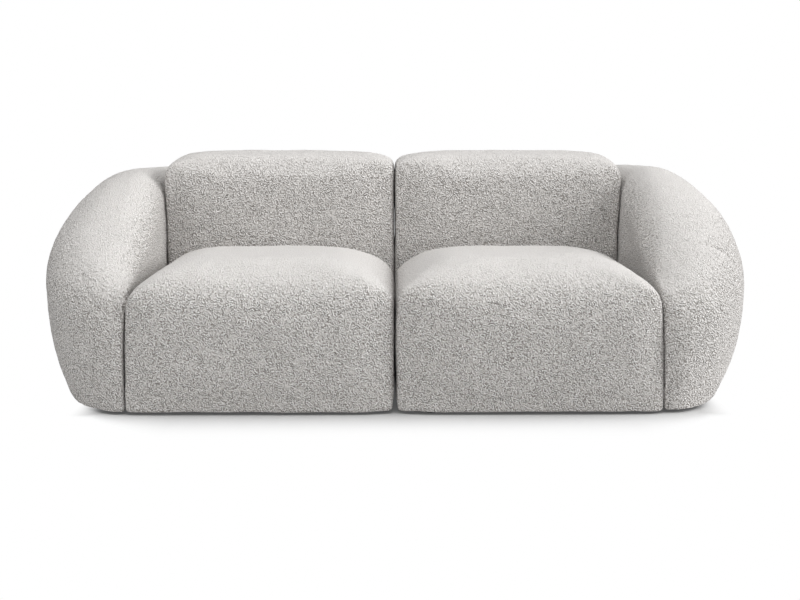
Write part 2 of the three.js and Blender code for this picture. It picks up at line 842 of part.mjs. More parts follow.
// The padding of the outside back, cut out for the panel and the rails' ends.
function outsideBackFoam() {
  const core = backSolid(padStart, backCoreSteps, { from: innerX + padStart, to: outerX });
  const panel = boxBetween(
    [innerX, backPanelPlace.low - fit, railBottom - overrun],
    [outerX - panelSideGap + fit, backPanelPlace.high + fit, shoulderHeight - panelTopGap + fit],
  );
  const rails = boxBetween(
    [innerRail.low - fit, backInnerY, railBottom - overrun],
    [outerRail.high + fit, backPanelPlace.high, railTop + fit],
  );
  return cut(core, [panel, rails]);
}

function dustCover() {
  const arm = armSolid(evenly(dustInset), armCoreSteps, { open: true });
  const block = boxBetween(
    [innerX + dustInset, frontY + seatFrontBulge + seatHemRadius + dustInset, dustBottom],
    [armInnerX + dustInset, rearY - dustInset - backTuck, hemHeight],
  );
  const slab = boxBetween([innerX, frontY, dustBottom], [armOuterX, rearY, dustBottom + dustThickness]);
  return cut(arm.add(block).intersect(slab), Object.values(footPlaces).map(shankHole));
}

// ---------- the hook at the middle

const hookShelfTop = hookTopHeight;
const tongueX = { low: -hookThickness * 2, high: -hookThickness };
const hookY = (seatRearY + backInnerY) / 2;
const hookRun = { low: hookY - hookWidth / 2, high: hookY + hookWidth / 2 };

// Right half: a plate on the inner rail, a shelf over the middle, and a tongue that hangs from it.
function hookTongue() {
  const face = innerRail.low - fit;
  const plate = boxBetween(
    [face - hookThickness, hookRun.low, hookShelfTop - hookPlateHeight],
    [face, hookRun.high, hookShelfTop],
  );
  const shelf = boxBetween(
    [tongueX.low, hookRun.low, hookShelfTop - hookThickness],
    [face - hookThickness / 2, hookRun.high, hookShelfTop],
  );
  const tongue = boxBetween(
    [tongueX.low, hookRun.low + hookThickness * 2, hookShelfTop - hookThickness - hookDrop],
    [tongueX.high, hookRun.high - hookThickness * 2, hookShelfTop - hookThickness / 2],
  );
  return plate.add(shelf).add(tongue);
}

// Left half: a plate on its inner rail and an arm that ends in a slot for the tongue.
function hookSocket() {
  const face = -(innerRail.low - fit);
  const socketTop = hookShelfTop - hookThickness - fit;
  const socketLow = socketTop - hookDrop;
  const plate = boxBetween(
    [face, hookRun.low, hookShelfTop - hookPlateHeight],
    [face + hookThickness, hookRun.high, socketTop],
  );
  const block = boxBetween(
    [face + hookThickness / 2, hookRun.low, socketLow],
    [tongueX.high + fit + hookThickness, hookRun.high, socketTop],
  );
  const slot = boxBetween(
    [tongueX.low - fit, hookRun.low + hookThickness * 2 - fit, socketLow - overrun],
    [tongueX.high + fit, hookRun.high - hookThickness * 2 + fit, socketTop + overrun],
  );
  const hollow = boxBetween(
    [face + hookThickness, hookRun.low - overrun, socketLow - overrun],
    [tongueX.low - fit - hookThickness, hookRun.high + overrun, socketTop - hookThickness],
  );
  return plate.add(block).subtract(slot).subtract(hollow);
}

// ---------- assembly

function addMesh(group, name, solid, finish) {
  const mesh = new THREE.Mesh(geometryOf(solid), new THREE.MeshStandardMaterial(finishes[finish]));
  mesh.name = name;
  group.add(mesh);
}

// The pieces that both halves share, under names that start with the side.
const pieces = [
  ["seat_cover", seatCover(), "boucle"],
  ["seat_foam", seatFoam(), "foam"],
  ["back_cushion_cover", cushionCover(), "boucle"],
  ["back_cushion_foam", cushionFoam(), "foam"],
  ["arm_cover", armCover(), "boucle"],
  ["arm_foam", armFoam(), "foam"],
  ["outside_back_cover", outsideBackCover(), "boucle"],
  ["outside_back_foam", outsideBackFoam(), "foam"],
  ["dust_cover", dustCover(), "dustCloth"],
  ["front_rail", cut(rail(crossRun, frontRail), [
    ...springGrooves(frontRail), ...springMouths(frontRail, 1), shankHole(footPlaces.front_inner),
  ]), "timber"],
  ["middle_rail", cut(rail(crossRun, middleRail), [
    ...springGrooves(middleRail), ...springMouths(middleRail, -1),
  ]), "timber"],
  ["rear_rail", cut(rail({ low: innerRail.low, high: outerRail.high }, rearRail), [
    shankHole(footPlaces.rear_inner),
  ]), "timber"],
  ["inner_side_rail", rail(innerRail, sideRailRun), "timber"],
  ["outer_side_rail", cut(rail(outerRail, sideRailRun), boltHoles), "timber"],
  ...springPlaces.map((x, i) => [`spring_${i + 1}`, spring(x), "springSteel"]),
  ["arm_base_plate", armPlate(), "plywood"],
  ["arm_side_rail", cut(rail(armRail, armRailRun, armRailHeight, plateTop + fit), [
    ...boltHoles, ...armFootHoles,
  ]), "timber"],
  ["arm_rib_front", armRib(ribFrontY), "plywood"],
  ["arm_rib_rear", armRib(ribRearY), "plywood"],
  ["back_panel", backPanel(), "plywood"],
  ...Object.entries(footPlaces).map(([place, at]) => [`foot_${place}`, foot(at), "blackPlastic"]),
  ["arm_bolt_front", armBolt(boltPlaces[0]), "zincSteel"],
  ["arm_bolt_rear", armBolt(boltPlaces[1]), "zincSteel"],
];

const sofa = new THREE.Group();
const rightHalf = new THREE.Group();
const leftHalf = new THREE.Group();
leftHalf.scale.x = -1;
for (const [name, solid, finish] of pieces) {
  addMesh(rightHalf, `right_${name}`, solid, finish);
  addMesh(leftHalf, `left_${name}`, solid, finish);
}
addMesh(sofa, "right_hook_tongue", hookTongue(), "zincSteel");
addMesh(sofa, "left_hook_socket", hookSocket(), "zincSteel");
sofa.add(rightHalf, leftHalf);

export default sofa;
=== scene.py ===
import math

import bpy
import numpy as np
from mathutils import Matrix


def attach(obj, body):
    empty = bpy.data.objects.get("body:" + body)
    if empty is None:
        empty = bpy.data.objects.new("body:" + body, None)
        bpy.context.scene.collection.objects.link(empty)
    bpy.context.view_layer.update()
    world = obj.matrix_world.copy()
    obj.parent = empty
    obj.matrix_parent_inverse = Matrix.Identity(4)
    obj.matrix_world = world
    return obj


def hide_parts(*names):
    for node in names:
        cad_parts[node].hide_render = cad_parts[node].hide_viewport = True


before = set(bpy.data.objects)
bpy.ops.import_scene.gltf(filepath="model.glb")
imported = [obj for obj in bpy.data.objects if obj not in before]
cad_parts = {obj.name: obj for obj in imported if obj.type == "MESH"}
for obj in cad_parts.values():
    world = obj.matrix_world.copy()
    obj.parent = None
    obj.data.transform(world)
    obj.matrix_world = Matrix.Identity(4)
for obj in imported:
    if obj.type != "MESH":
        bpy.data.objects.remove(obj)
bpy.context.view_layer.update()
scene = bpy.context.scene
halves = {"left": -1, "right": 1}  # which way each half lies along X
print("frame loaded:", len(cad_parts), "nodes")

cameraView = dict(  # worked out from the outlines in the picture
    place=(-0.008, -3.5, 0.855),
    pitch=-9.51,  # degrees, below the horizon
    yaw=0.428,  # degrees, towards +X
    focal=1044.3,  # in pixels of the 800 pixel wide picture
    width=800,
    sensor=36.0,  # millimetres across
)


def makeObject(name, data):
    made = bpy.data.objects.new(name, data)
    scene.collection.objects.link(made)
    return made


def makeCamera(view):
    # lens = focal length in pixels / the picture's width in pixels, times the sensor's width
    data = bpy.data.cameras.new("pictureCamera")
    data.sensor_width = view["sensor"]
    data.lens = view["focal"] / view["width"] * view["sensor"]
    scene.camera = makeObject("pictureCamera", data)
    scene.camera.location = view["place"]
    scene.camera.rotation_euler = (math.radians(90 + view["pitch"]), 0, math.radians(-view["yaw"]))


makeCamera(cameraView)
scene.view_settings.view_transform = "Standard"
print("camera placed")

# sums on whole arrays, which every shape uses


def smooth(values, low, high):
    # 0 below low and 1 above high, with 3t^2 - 2t^3 between
    t = np.clip((values - low) / (high - low), 0, 1)
    return t * t * (3 - 2 * t)


def mix(start, end, share):
    # start + (end - start) share
    return start + (end - start) * share


def hill(values, middle, reach):
    # 1 at the middle, falling as exp(-(distance / reach)^2)
    return np.exp(-(((values - middle) / reach) ** 2))


def waves(points, length, spread, count, seed):
    # Soft random unevenness about -1 to 1: the sum of many cosine waves in random directions, whose
    # lengths are spread round the given one, each with a random start, over the root of half their number.
    rng = np.random.default_rng(seed)
    heading = rng.normal(size=(count, 3))
    heading /= np.linalg.norm(heading, axis=1)[:, None]
    lengths = length * rng.uniform(1 - spread, 1 + spread, count)
    starts = rng.uniform(0, 2 * np.pi, count)
    total = np.zeros(len(points))
    for direction, oneLength, start in zip(heading, lengths, starts):
        total += np.cos(points @ direction * (2 * np.pi / oneLength) + start)
    return total / math.sqrt(count / 2) / 2


def distanceToPath(points, path):
    # the least distance to any straight run between neighbouring points of the path, and how far along
    # the whole path that nearest place lies, from 0 to 1
    path = np.asarray(path, float)
    runs = np.diff(path, axis=0)
    lengths = np.linalg.norm(runs, axis=1)
    before = np.concatenate([[0], np.cumsum(lengths)])
    best = np.full(len(points), np.inf)
    along = np.zeros(len(points))
    for start, run, length, gone in zip(path[:-1], runs, lengths, before):
        t = np.clip((points - start) @ run / length**2, 0, 1)
        distance = np.linalg.norm(points - (start + t[:, None] * run), axis=1)
        nearer = distance < best
        best = np.where(nearer, distance, best)
        along = np.where(nearer, (gone + t * length) / before[-1], along)
    return best, along


# reading, making and finishing meshes


def placesOf(mesh):
    # every point's place, as rows of x, y and z
    places = np.empty(len(mesh.vertices) * 3, np.float32)
    mesh.vertices.foreach_get("co", places)
    return places.reshape(-1, 3).astype(float)


def movePlaces(mesh, places):
    mesh.vertices.foreach_set("co", places.astype(np.float32).ravel())
    mesh.update()


def normalsOf(mesh):
    normals = np.empty(len(mesh.vertices) * 3, np.float32)
    mesh.vertex_normals.foreach_get("vector", normals)
    return normals.reshape(-1, 3).astype(float)


def closedGrid(name, rings):
    # a closed skin over an array of rings (ring, point on it, xyz), with a fan at each end
    count, around = rings.shape[:2]
    places = np.concatenate([rings.reshape(-1, 3), rings[:1].mean(1), rings[-1:].mean(1)])
    here = np.arange(count * around).reshape(count, around)
    after = np.roll(here, -1, axis=1)
    quads = np.stack([here[:-1], after[:-1], after[1:], here[1:]], -1).reshape(-1, 4)
    firstFan = np.stack([after[0], here[0], np.full(around, count * around)], 1)
    lastFan = np.stack([here[-1], after[-1], np.full(around, count * around + 1)], 1)
    mesh = bpy.data.meshes.new(name)
    mesh.from_pydata(places.tolist(), [], quads.tolist() + firstFan.tolist() + lastFan.tolist())
    mesh.validate()
    return makeObject(name, mesh)


def bake(piece):
    # the piece's modifiers, made part of its mesh
    bpy.context.view_layer.update()
    shaped = bpy.data.meshes.new_from_object(piece.evaluated_get(bpy.context.evaluated_depsgraph_get()))
    piece.modifiers.clear()
    old, piece.data = piece.data, shaped
    bpy.data.meshes.remove(old)
    return piece


def remesh(piece, size):
    # an even skin of small squares over the closed shape
    modifier = piece.modifiers.new("evenSkin", "REMESH")
    modifier.mode = "VOXEL"
    modifier.voxel_size = size
    return bake(piece)


def subdivide(piece):
    modifier = piece.modifiers.new("finer", "SUBSURF")
    modifier.levels = modifier.render_levels = 1
    return bake(piece)


def evenOut(mesh, values, times):
    # each point's value, over and over the mean of its own and those of its neighbours along the edges
    ends = np.empty(len(mesh.edges) * 2, np.int32)
    mesh.edges.foreach_get("vertices", ends)
    here, there, count = np.append(ends[::2], ends[1::2]), np.append(ends[1::2], ends[::2]), len(values)
    share = 1 / (1 + np.bincount(here, minlength=count))[:, None]
    for _ in range(times):
        summed = [np.bincount(here, values[there, axis], count) for axis in range(values.shape[1])]
        values = (values + np.stack(summed, 1)) * share
    return values


def swellCloth(piece, cloth, rests):
    # The cover is cut a little small and blown up: cloth with pressure inside and no gravity, for some
    # frames. Where it rests (0 free to 1 held) it stays, and no point goes further than the cap, because
    # its way is shortened to cap tanh(way / cap) and then evened out.
    mesh = piece.data
    before = placesOf(mesh)
    held = piece.vertex_groups.new(name="held")
    for tenth in range(1, 11):
        held.add(np.nonzero(np.round(rests * 10) == tenth)[0].tolist(), tenth / 10, "REPLACE")
    modifier = piece.modifiers.new("cover", "CLOTH")
    settings = modifier.settings
    settings.quality = cloth["steps"]
    settings.mass = cloth["mass"]
    settings.tension_stiffness = settings.compression_stiffness = cloth["stiffness"]
    settings.shear_stiffness = cloth["stiffness"] / 2
    settings.bending_stiffness = cloth["bending"]
    settings.use_pressure = True
    settings.uniform_pressure_force = cloth["pressure"]
    settings.effector_weights.gravity = 0
    settings.vertex_group_mass = "held"
    for number in range(1, cloth["frames"] + 1):
        scene.frame_set(number)
    blown = piece.evaluated_get(bpy.context.evaluated_depsgraph_get()).to_mesh()
    way = placesOf(blown) - before
    piece.modifiers.clear()
    piece.vertex_groups.clear()
    scene.frame_set(1)
    length = np.linalg.norm(way, axis=1, keepdims=True)
    shortened = cloth["cap"] * np.tanh(length / cloth["cap"])
    movePlaces(mesh, before + evenOut(mesh, way * shortened / np.maximum(length, 1e-9), cloth["evened"]))
    print("cloth", piece.name, "moved", round(float(shortened.mean()) * 1000, 1), "mm on average")


unevenness = dict(broad=(0.20, 0.4, 24), small=(0.07, 0.4, 30), smallShare=0.4)  # length, spread, number of waves


def unevenSurface(piece, seed, rise):
    # the hand of the upholsterer: soft waves of two lengths, along the surface's own direction
    places, normals = placesOf(piece.data), normalsOf(piece.data)
    broad, small = waves(places, *unevenness["broad"], seed), waves(places, *unevenness["small"], seed + 50)
    movePlaces(piece.data, places + normals * (rise * (broad + unevenness["smallShare"] * small))[:, None])


def copied(piece, name, side):
    # the same mesh, on the left with x turned about and its faces turned so that they still point out
    mesh = piece.data.copy()
    mesh.name = name
    if side < 0:
        movePlaces(mesh, placesOf(mesh) * (-1, 1, 1))
        mesh.flip_normals()
    return makeObject(name, mesh)


# the soft shapes of one half, drawn for the right and mirrored for the left

sofa = dict(
    gapHalf=0.003,  # from the middle of the sofa to a half's inner face
    blockRight=0.792,  # where the seat and the back cushion meet the arm
    rear=0.5,
    hem=0.0175,  # the lower edge of the frame
    hemDrop=0.009,  # how far the cover's turned edge hangs below the frame
    hemWide=(0.022, 0.011),  # how far in from the outline it hangs, fading and full
    hemTall=0.04,  # and from how high up it is let down
    onHem=0.0005,  # heights this close to the frame's edge count as on it
    backFace=0.372,  # the outside back's inner face
    valleyWide=0.05,  # metres over which the front falls back towards the middle gap, and at the arm's seam
    swellEdge=(0.06, 0.01),  # metres in from a block's side, between which the swell of its face sets in
)

wallLine = {  # how far the line between arm and seat stands out of true
    "left": dict(flare=0.016, valley=0.004, cushionLow=0.003, cushionTop=0.009),
    "right": dict(flare=0.016, valley=0.016, cushionLow=-0.009, cushionTop=0.0),
}
wallFades = dict(  # from nothing to all of it, in metres along y or up z
    flareUp=(0.46, 0.08), flareForward=(-0.12, -0.44), valleyUp=(0.46, 0.30), valleyForward=(-0.20, -0.42),
    cushionFront=(0.03, 0.10), cushionRear=(0.40, 0.33), leanUp=(0.44, 0.70), atSeam=0.02,
)

seatShape = dict(
    front=-0.488, rear=0.095, bottom=sofa["hem"], top=0.438, crown=0.018,
    corner=0.011, hemRound=0.003,
    frontRoll=0.135, rearRoll=0.030, innerRoll=0.175, outerRoll=0.175,  # how far each side draws in at the top
    rollDrop=0.105, innerDrop=0.105,  # and over what height
    bulge=0.018, valley=0.018, lean=0.0, faceSwell=0.0042, armSwell=0.0012,
    skin=0.010, drawnIn=0.004,
)

cushionShape = dict(
    front=0.098, rear=0.3717, bottom=0.138, top=0.753, crown=0.012,
    corner=0.011, hemRound=0.014,
    frontRoll=0.075, rearRoll=0.060, innerRoll=0.050, outerRoll=0.076,
    rollDrop=0.074, innerDrop=0.034,
    bulge=0.016, valley=0.010, lean=0.042, faceSwell=0.0042, armSwell=0.0012,
    skin=0.009, drawnIn=0.004,
)
blockGrid = dict(  # rows from the bottom's middle to the top's, and points round each
    hem=5, side=26, roll=22, cap=12, capTo=0.97, corner=9, around=176, leastFlat=0.001,
)


def blockRings(block, left, right, grid):
    # Rounded rectangles stacked from the middle of the bottom to the middle of the top. Round the hem and
    # over the top edge they draw in by a quarter circle: share = 1 - cos(angle), height + drop sin(angle).
    # Each has a quarter circle at its four corners, and its points are spread evenly along its outline.
    hem = np.linspace(0, np.pi / 2, grid["hem"])
    roll = np.linspace(0, np.pi / 2, grid["roll"])
    sideLow, sideHigh = block["bottom"] + block["hemRound"], block["top"] - block["rollDrop"]
    sides = np.linspace(sideLow, sideHigh, grid["side"])[1:-1]
    inset = np.concatenate([block["hemRound"] * (1 - np.sin(hem)), 0 * sides, 0 * roll])
    share = np.concatenate([0 * hem, 0 * sides, 1 - np.cos(roll)])
    height = np.concatenate(
        [block["bottom"] + block["hemRound"] * (1 - np.cos(hem)), sides, sideHigh + block["rollDrop"] * np.sin(roll)]
    )
    innerUp = np.clip((height - block["top"] + block["innerDrop"]) / block["innerDrop"], 0, 1)
    low = left + (1 - np.sqrt(1 - innerUp**2)) * block["innerRoll"] + inset
    high = right - share * block["outerRoll"] - inset
    front = block["front"] + share * block["frontRoll"] + inset
    rear = block["rear"] - share * block["rearRoll"] - inset
    radius = np.minimum(block["corner"] + share * block["frontRoll"], (rear - front) / 2 - grid["leastFlat"])
    turns = [np.linspace(0, np.pi / 2, grid["corner"]) + corner * np.pi / 2 for corner in (-1, 0, 1, 2)]
    rings = []
    for x0, x1, y0, y1, r, z in zip(low, high, front, rear, radius, height):
        xs = np.concatenate([x + r * np.cos(turn) for x, turn in zip((x1 - r, x1 - r, x0 + r, x0 + r), turns)])
        ys = np.concatenate([y + r * np.sin(turn) for y, turn in zip((y0 + r, y1 - r, y1 - r, y0 + r), turns)])
        xs, ys = np.append(xs, xs[0]), np.append(ys, ys[0])
        gone = np.concatenate([[0], np.cumsum(np.hypot(np.diff(xs), np.diff(ys)))])
        even = np.linspace(0, gone[-1], grid["around"], endpoint=False)
        rings.append(np.stack([np.interp(even, gone, xs), np.interp(even, gone, ys), np.full(len(even), z)], 1))
    rings = np.array(rings)
    inwards = np.linspace(0, grid["capTo"], grid["cap"])[1:, None, None]
    bottom = mix(rings[:1], rings[:1].mean(1, keepdims=True), inwards)[::-1]
    top = mix(rings[-1:], rings[-1:].mean(1, keepdims=True), inwards)
    return np.concatenate([bottom, rings, top])


def swellBlock(places, block, left, right):
    # The crown lifts the top as 1 - across^4 times 1 - along^4, the front bows out as 1 - up^2, the lean
    # carries the front back in step with the height, and the valley carries it back by exp(-distance)
    # towards the middle gap. The inner face and the face at the arm stand out by small swells.
    across = 2 * (places[:, 0] - left) / (right - left) - 1
    along = 2 * (places[:, 1] - block["front"]) / (block["rear"] - block["front"]) - 1
    up = 2 * (places[:, 2] - block["bottom"]) / (block["top"] - block["bottom"]) - 1
    climb, forward = np.clip((up + 1) / 2, 0, 1), (1 - along) / 2
    broad = np.maximum(0, 1 - across**4)
    swollen = places.copy()
    swollen[:, 2] += block["crown"] * broad * np.maximum(0, 1 - along**4) * climb**4
    swollen[:, 1] -= block["bulge"] * broad * np.maximum(0, 1 - up**2) * forward
    swollen[:, 1] += block["lean"] * climb * forward
    swollen[:, 1] += block["valley"] * np.exp((left - places[:, 0]) / sofa["valleyWide"]) * forward
    inner, outer = (smooth(distance, *sofa["swellEdge"]) for distance in (places[:, 0] - left, right - places[:, 0]))
    swollen[:, 0] -= block["faceSwell"] * inner * np.maximum(0, 1 - along**6) * np.maximum(0, 1 - up**14)
    swollen[:, 0] += block["armSwell"] * outer
    return swollen


def shiftWall(places, half, reach):
    # The line where the arm meets the seat and the back cushion isn't quite straight: at the front it
    # flares out towards the floor and lies back as exp(-distance), and beside the cushion it leans. All
    # that lies near it goes along.
    wall = wallLine[half]
    x, y, z = places.T
    upward = {key: smooth(z, *wallFades[key + "Up"]) for key in ("flare", "valley", "lean")}
    flare = wall["flare"] * upward["flare"] * smooth(y, *wallFades["flareForward"])
    beside = smooth(y, *wallFades["cushionFront"]) * smooth(y, *wallFades["cushionRear"])
    lean = beside * mix(wall["cushionLow"], wall["cushionTop"], upward["lean"])
    fromSeam = np.abs(x - sofa["blockRight"])
    back = wall["valley"] * upward["valley"] * smooth(y, *wallFades["valleyForward"])
    moved = places.copy()
    moved[:, 0] += (flare + lean) * smooth(fromSeam, reach, wallFades["atSeam"])
    moved[:, 1] += back * np.exp(-fromSeam / sofa["valleyWide"])
    return moved


def makeBlock(name, block):
    # the rings of a block drawn in a little all round, swollen, closed and given an even skin
    left, right = sofa["gapHalf"], sofa["blockRight"]
    small = block["drawnIn"]
    inner = dict(block, front=block["front"] + small, rear=block["rear"] - small, top=block["top"] - small)
    rings = blockRings(inner, left + small / 2, right - small / 2, blockGrid)
    shape = rings.shape
    rings = swellBlock(rings.reshape(-1, 3), block, left, right).reshape(shape)
    return remesh(closedGrid(name, rings), block["skin"])


print("shape functions ready")

armShape = dict(
    wall=sofa["blockRight"], reach=1.175, nose=-0.494, tail=sofa["rear"], fan=-0.329, middle=0.09, innerMiddle=0.04,
    shoulder=0.215, back=sofa["backFace"], noseRadius=0.022, noseSet=0.006,
    noseHeight=0.392, shoulderHeight=0.716, noseDrop=0.010, sideDrop=0.112, backDrop=0.026,
    noseWaist=0.205, sideWaist=0.325, noseTuck=0.032, sideTuck=0.180, backTuck=0.040,
    noseCrest=0.08, sideCrest=0.34, backCrest=0.45, backRoll=0.32,
    rollPower=1.02, fanPower=1.6, tuckAngle=1.16, narrowTuck=0.5,
    endRound=0.022,  # of the outside back at the middle gap
    leastDrop=0.005, closeShare=0.3, closer=1.5,  # sections lie closer together over this share at the nose
    skin=0.0095,
)
armGrid = dict(  # sections along the arm and the outside back, and points round each
    close=30, front=46, rear=60, straight=60, end=8, wall=20, quarter=24, side=8, tuck=16, under=10,
)
armChanges = {  # what makes the two arms differ
    "left": dict(reach=1.161, shoulderHeight=0.7025, rollPower=0.952, sideWaist=0.356, sideTuck=0.150, sideCrest=0.325,
                 tuckAngle=1.06),
    "right": dict(reach=1.171, shoulderHeight=0.7105, rollPower=0.96, sideWaist=0.338, sideTuck=0.160, sideCrest=0.285),
}
armCrease = dict(  # the right arm's one short crease, along a path over its front shoulder
    path=[(0.955, -0.261, 0.489), (0.981, -0.257, 0.485), (1.007, -0.253, 0.476), (1.023, -0.250, 0.469),
          (1.043, -0.244, 0.459), (1.060, -0.242, 0.442), (1.077, -0.238, 0.423), (1.093, -0.233, 0.396)],
    depth=0.005, reach=0.007, deepest=0.5, run=0.35, valley=0.0025, valleyReach=0.03,
    pillow=(1.10, -0.06, 0.60), rise=0.007, riseReach=0.15,
)


def quarterSine(share):
    # sin(share quarter turns), a quick start and a gentle end
    return np.sin(np.pi / 2 * np.clip(share, 0, 1))


def sectionPoints(arm, **columns):
    # One closed section per row, as distance out from the wall and height: up the wall, a quarter circle
    # to the crest, a quarter of a superellipse out to the full width, then down and in by tuck (1 - cos).
    bottom = sofa["hem"]
    quarter = np.linspace(0, np.pi / 2, armGrid["quarter"])[None, 1:]
    wallUp = np.linspace(0, 1, armGrid["wall"])[None, :-1]
    column = {key: value[:, None] for key, value in columns.items()}
    ones = np.ones_like(column["width"])
    wallOut, wallHigh = ones * wallUp * 0, mix(bottom, column["innerTop"], wallUp)
    innerOut = column["crest"] * (1 - np.cos(quarter))
    innerHigh = column["innerTop"] + (column["height"] - column["innerTop"]) * np.sin(quarter)
    outward, upward = np.sin(quarter) ** arm["rollPower"], np.maximum(0, np.cos(quarter)) ** arm["rollPower"]
    outerOut = mix(column["crest"], column["width"], outward)
    outerHigh = mix(column["rollTop"], column["height"], upward)
    sideShare = np.linspace(0, 1, armGrid["side"])[None, 1:]
    sideOut, sideHigh = column["width"] * np.ones_like(sideShare), mix(column["rollTop"], column["waist"], sideShare)
    turn = np.linspace(0, arm["tuckAngle"], armGrid["tuck"])[None, 1:]
    drop = (column["waist"] - bottom) / math.sin(arm["tuckAngle"])
    lowOut, lowHigh = column["width"] - column["tuck"] * (1 - np.cos(turn)), column["waist"] - drop * np.sin(turn)
    underShare = np.linspace(1, 0, armGrid["under"])[None, 1:-1]
    underOut, underHigh = lowOut[:, -1:] * underShare, ones * bottom * np.ones_like(underShare)
    outs = np.concatenate([wallOut, innerOut, outerOut, sideOut, lowOut, underOut], 1)
    highs = np.concatenate([wallHigh, innerHigh, outerHigh, sideHigh, lowHigh, underHigh], 1)
    return outs, highs


def armRings(arm):
    # Sections fanned from the nose, round the side, to the outside back. The plan's outer line is a
    # quarter ellipse from the nose to the widest place and another from there to the tail, and a small
    # quarter circle rounds the nose at the seat.
    share, power = arm["closeShare"], arm["closer"]
    close = np.linspace(0, share, armGrid["close"]) ** power / share ** (power - 1)
    later = np.linspace(share, 1, armGrid["front"])[1:], np.linspace(1, 2, armGrid["rear"])[1:]
    place = np.concatenate([close, *later])
    front = place <= 1
    turn = np.pi / 2 * np.where(front, place, 2 - place)
    reach = arm["reach"] - arm["wall"]
    fromWall = reach * np.sin(turn)
    outY = np.where(
        front,
        arm["middle"] - (arm["middle"] - arm["nose"]) * np.cos(turn),
        arm["middle"] + (arm["tail"] - arm["middle"]) * np.cos(turn),
    )
    near = np.clip(1 - fromWall / arm["noseRadius"], 0, 1) * front
    outY = outY + arm["noseSet"] * (1 - np.sqrt(1 - near**2))
    wallY = np.where(
        front,
        mix(arm["fan"], arm["innerMiddle"], np.minimum(place, 1) ** arm["fanPower"]),
        mix(arm["innerMiddle"], arm["back"], quarterSine(place - 1)),
    )
    side = np.where(front, quarterSine(place), 1)
    back = np.where(front, 0, smooth(place - 1, 0, 1))
    rise = quarterSine((wallY - arm["fan"]) / (arm["shoulder"] - arm["fan"]))
    width = np.hypot(fromWall, outY - wallY)
    height = mix(arm["noseHeight"], arm["shoulderHeight"], rise)
    waist = np.minimum(mix(arm["noseWaist"], arm["sideWaist"], side), height - arm["leastDrop"])

    def fromNose(key, share):
        # the arm's value at the nose, then at the side, then at the back
        return mix(mix(arm["nose" + key], arm["side" + key], share), arm["back" + key], back)

    outs, highs = sectionPoints(
        arm, width=width, height=height, waist=waist,
        crest=width * fromNose("Crest", side), innerTop=height - fromNose("Drop", side),
        tuck=fromNose("Tuck", side**2) * np.minimum(1, width / reach + arm["narrowTuck"]),
        rollTop=height - (height - waist) * mix(1, arm["backRoll"], back),
    )
    unitX, unitY = fromWall / width, (outY - wallY) / width
    return np.stack([arm["wall"] + unitX[:, None] * outs, wallY[:, None] + unitY[:, None] * outs, highs], 2)


def makeArm(name, arm):
    # the fanned sections, closed and given an even skin
    return remesh(closedGrid(name, armRings(arm)), arm["skin"])


def backRings(arm):
    # the arm's last section carried in a straight line to the middle, with a small round at its end
    left, right, endRound = sofa["gapHalf"] / 3, sofa["blockRight"], arm["endRound"]
    thick = arm["tail"] - arm["back"]
    angle, straight = np.linspace(0, np.pi / 2, armGrid["end"])[:-1], armGrid["straight"]
    x = np.concatenate([left + endRound * (1 - np.cos(angle)), np.linspace(left + endRound, right, straight)])
    drawn = np.concatenate([endRound * (1 - np.sin(angle)), np.zeros(straight)])
    height = arm["shoulderHeight"] - drawn
    roll = (arm["shoulderHeight"] - arm["sideWaist"]) * arm["backRoll"]
    width = thick - 2 * drawn
    outs, highs = sectionPoints(
        arm, width=width, crest=width * arm["backCrest"], height=height, innerTop=height - arm["backDrop"],
        waist=np.full(len(x), arm["sideWaist"]), tuck=np.full(len(x), arm["backTuck"]), rollTop=height - roll,
    )
    start = arm["back"] + drawn
    return np.stack([x[:, None] + 0 * outs, start[:, None] + outs, highs], 2)


def makeOutsideBack(name, arm):
    # the straight run's sections, closed and given an even skin
    return remesh(closedGrid(name, backRings(arm)[::-1]), arm["skin"])


def hemPath(arm):
    # the half's outline on the floor: the seat's front, the arm's lower edge and the outside back
    rings = armRings(arm)
    low = rings[:, :, 2] < sofa["hem"] + sofa["onHem"]
    farthest = np.argmax(np.hypot(rings[:, :, 0] - arm["wall"], rings[:, :, 1] - arm["innerMiddle"]) * low, axis=1)
    edge = rings[np.arange(len(rings)), farthest][::3, :2]
    x = np.append(np.linspace(sofa["gapHalf"], 4 * sofa["valleyWide"], 16), sofa["blockRight"])
    valley = seatShape["valley"] * np.exp((sofa["gapHalf"] - x) / sofa["valleyWide"])
    front = np.stack([x, seatShape["front"] + valley], 1)
    return np.concatenate([front, edge, [(sofa["blockRight"], sofa["rear"]), (sofa["gapHalf"], sofa["rear"])]])


def hangHem(piece, side, path):
    # the cover's turned edge, lower within a finger's width of the outline, let down over its last stretch
    places = placesOf(piece.data)
    distance = distanceToPath(places[:, :2] * (side, 1), path)[0]
    share = smooth(distance, *sofa["hemWide"]) * smooth(places[:, 2], sofa["hem"] + sofa["hemTall"], sofa["hem"])
    places[:, 2] -= sofa["hemDrop"] * share
    movePlaces(piece.data, places)


covers = {  # how far from the seam each goes along with it, how uneven it is, and what it stands for
    "seat": dict(wallReach=0.30, uneven=0.0016, stands="seat"),
    "backCushion": dict(wallReach=0.30, uneven=0.0016, stands="back_cushion"),
    "arm": dict(wallReach=0.12, uneven=0.0018, stands="arm"),
    "outsideBack": dict(wallReach=0.03, uneven=0.0012, stands="outside_back"),
}
clothSettings = dict(
    steps=4, mass=0.25, stiffness=12, bending=3, pressure=4.0, frames=20, cap=0.009, evened=12,
    heldEdge=(0.05, 0.015),  # metres from the bottom and the rear, between which the hold sets in
    heldSides=(0.012, 0.004), sideHold=0.5,  # and from the two sides, which hold less
)


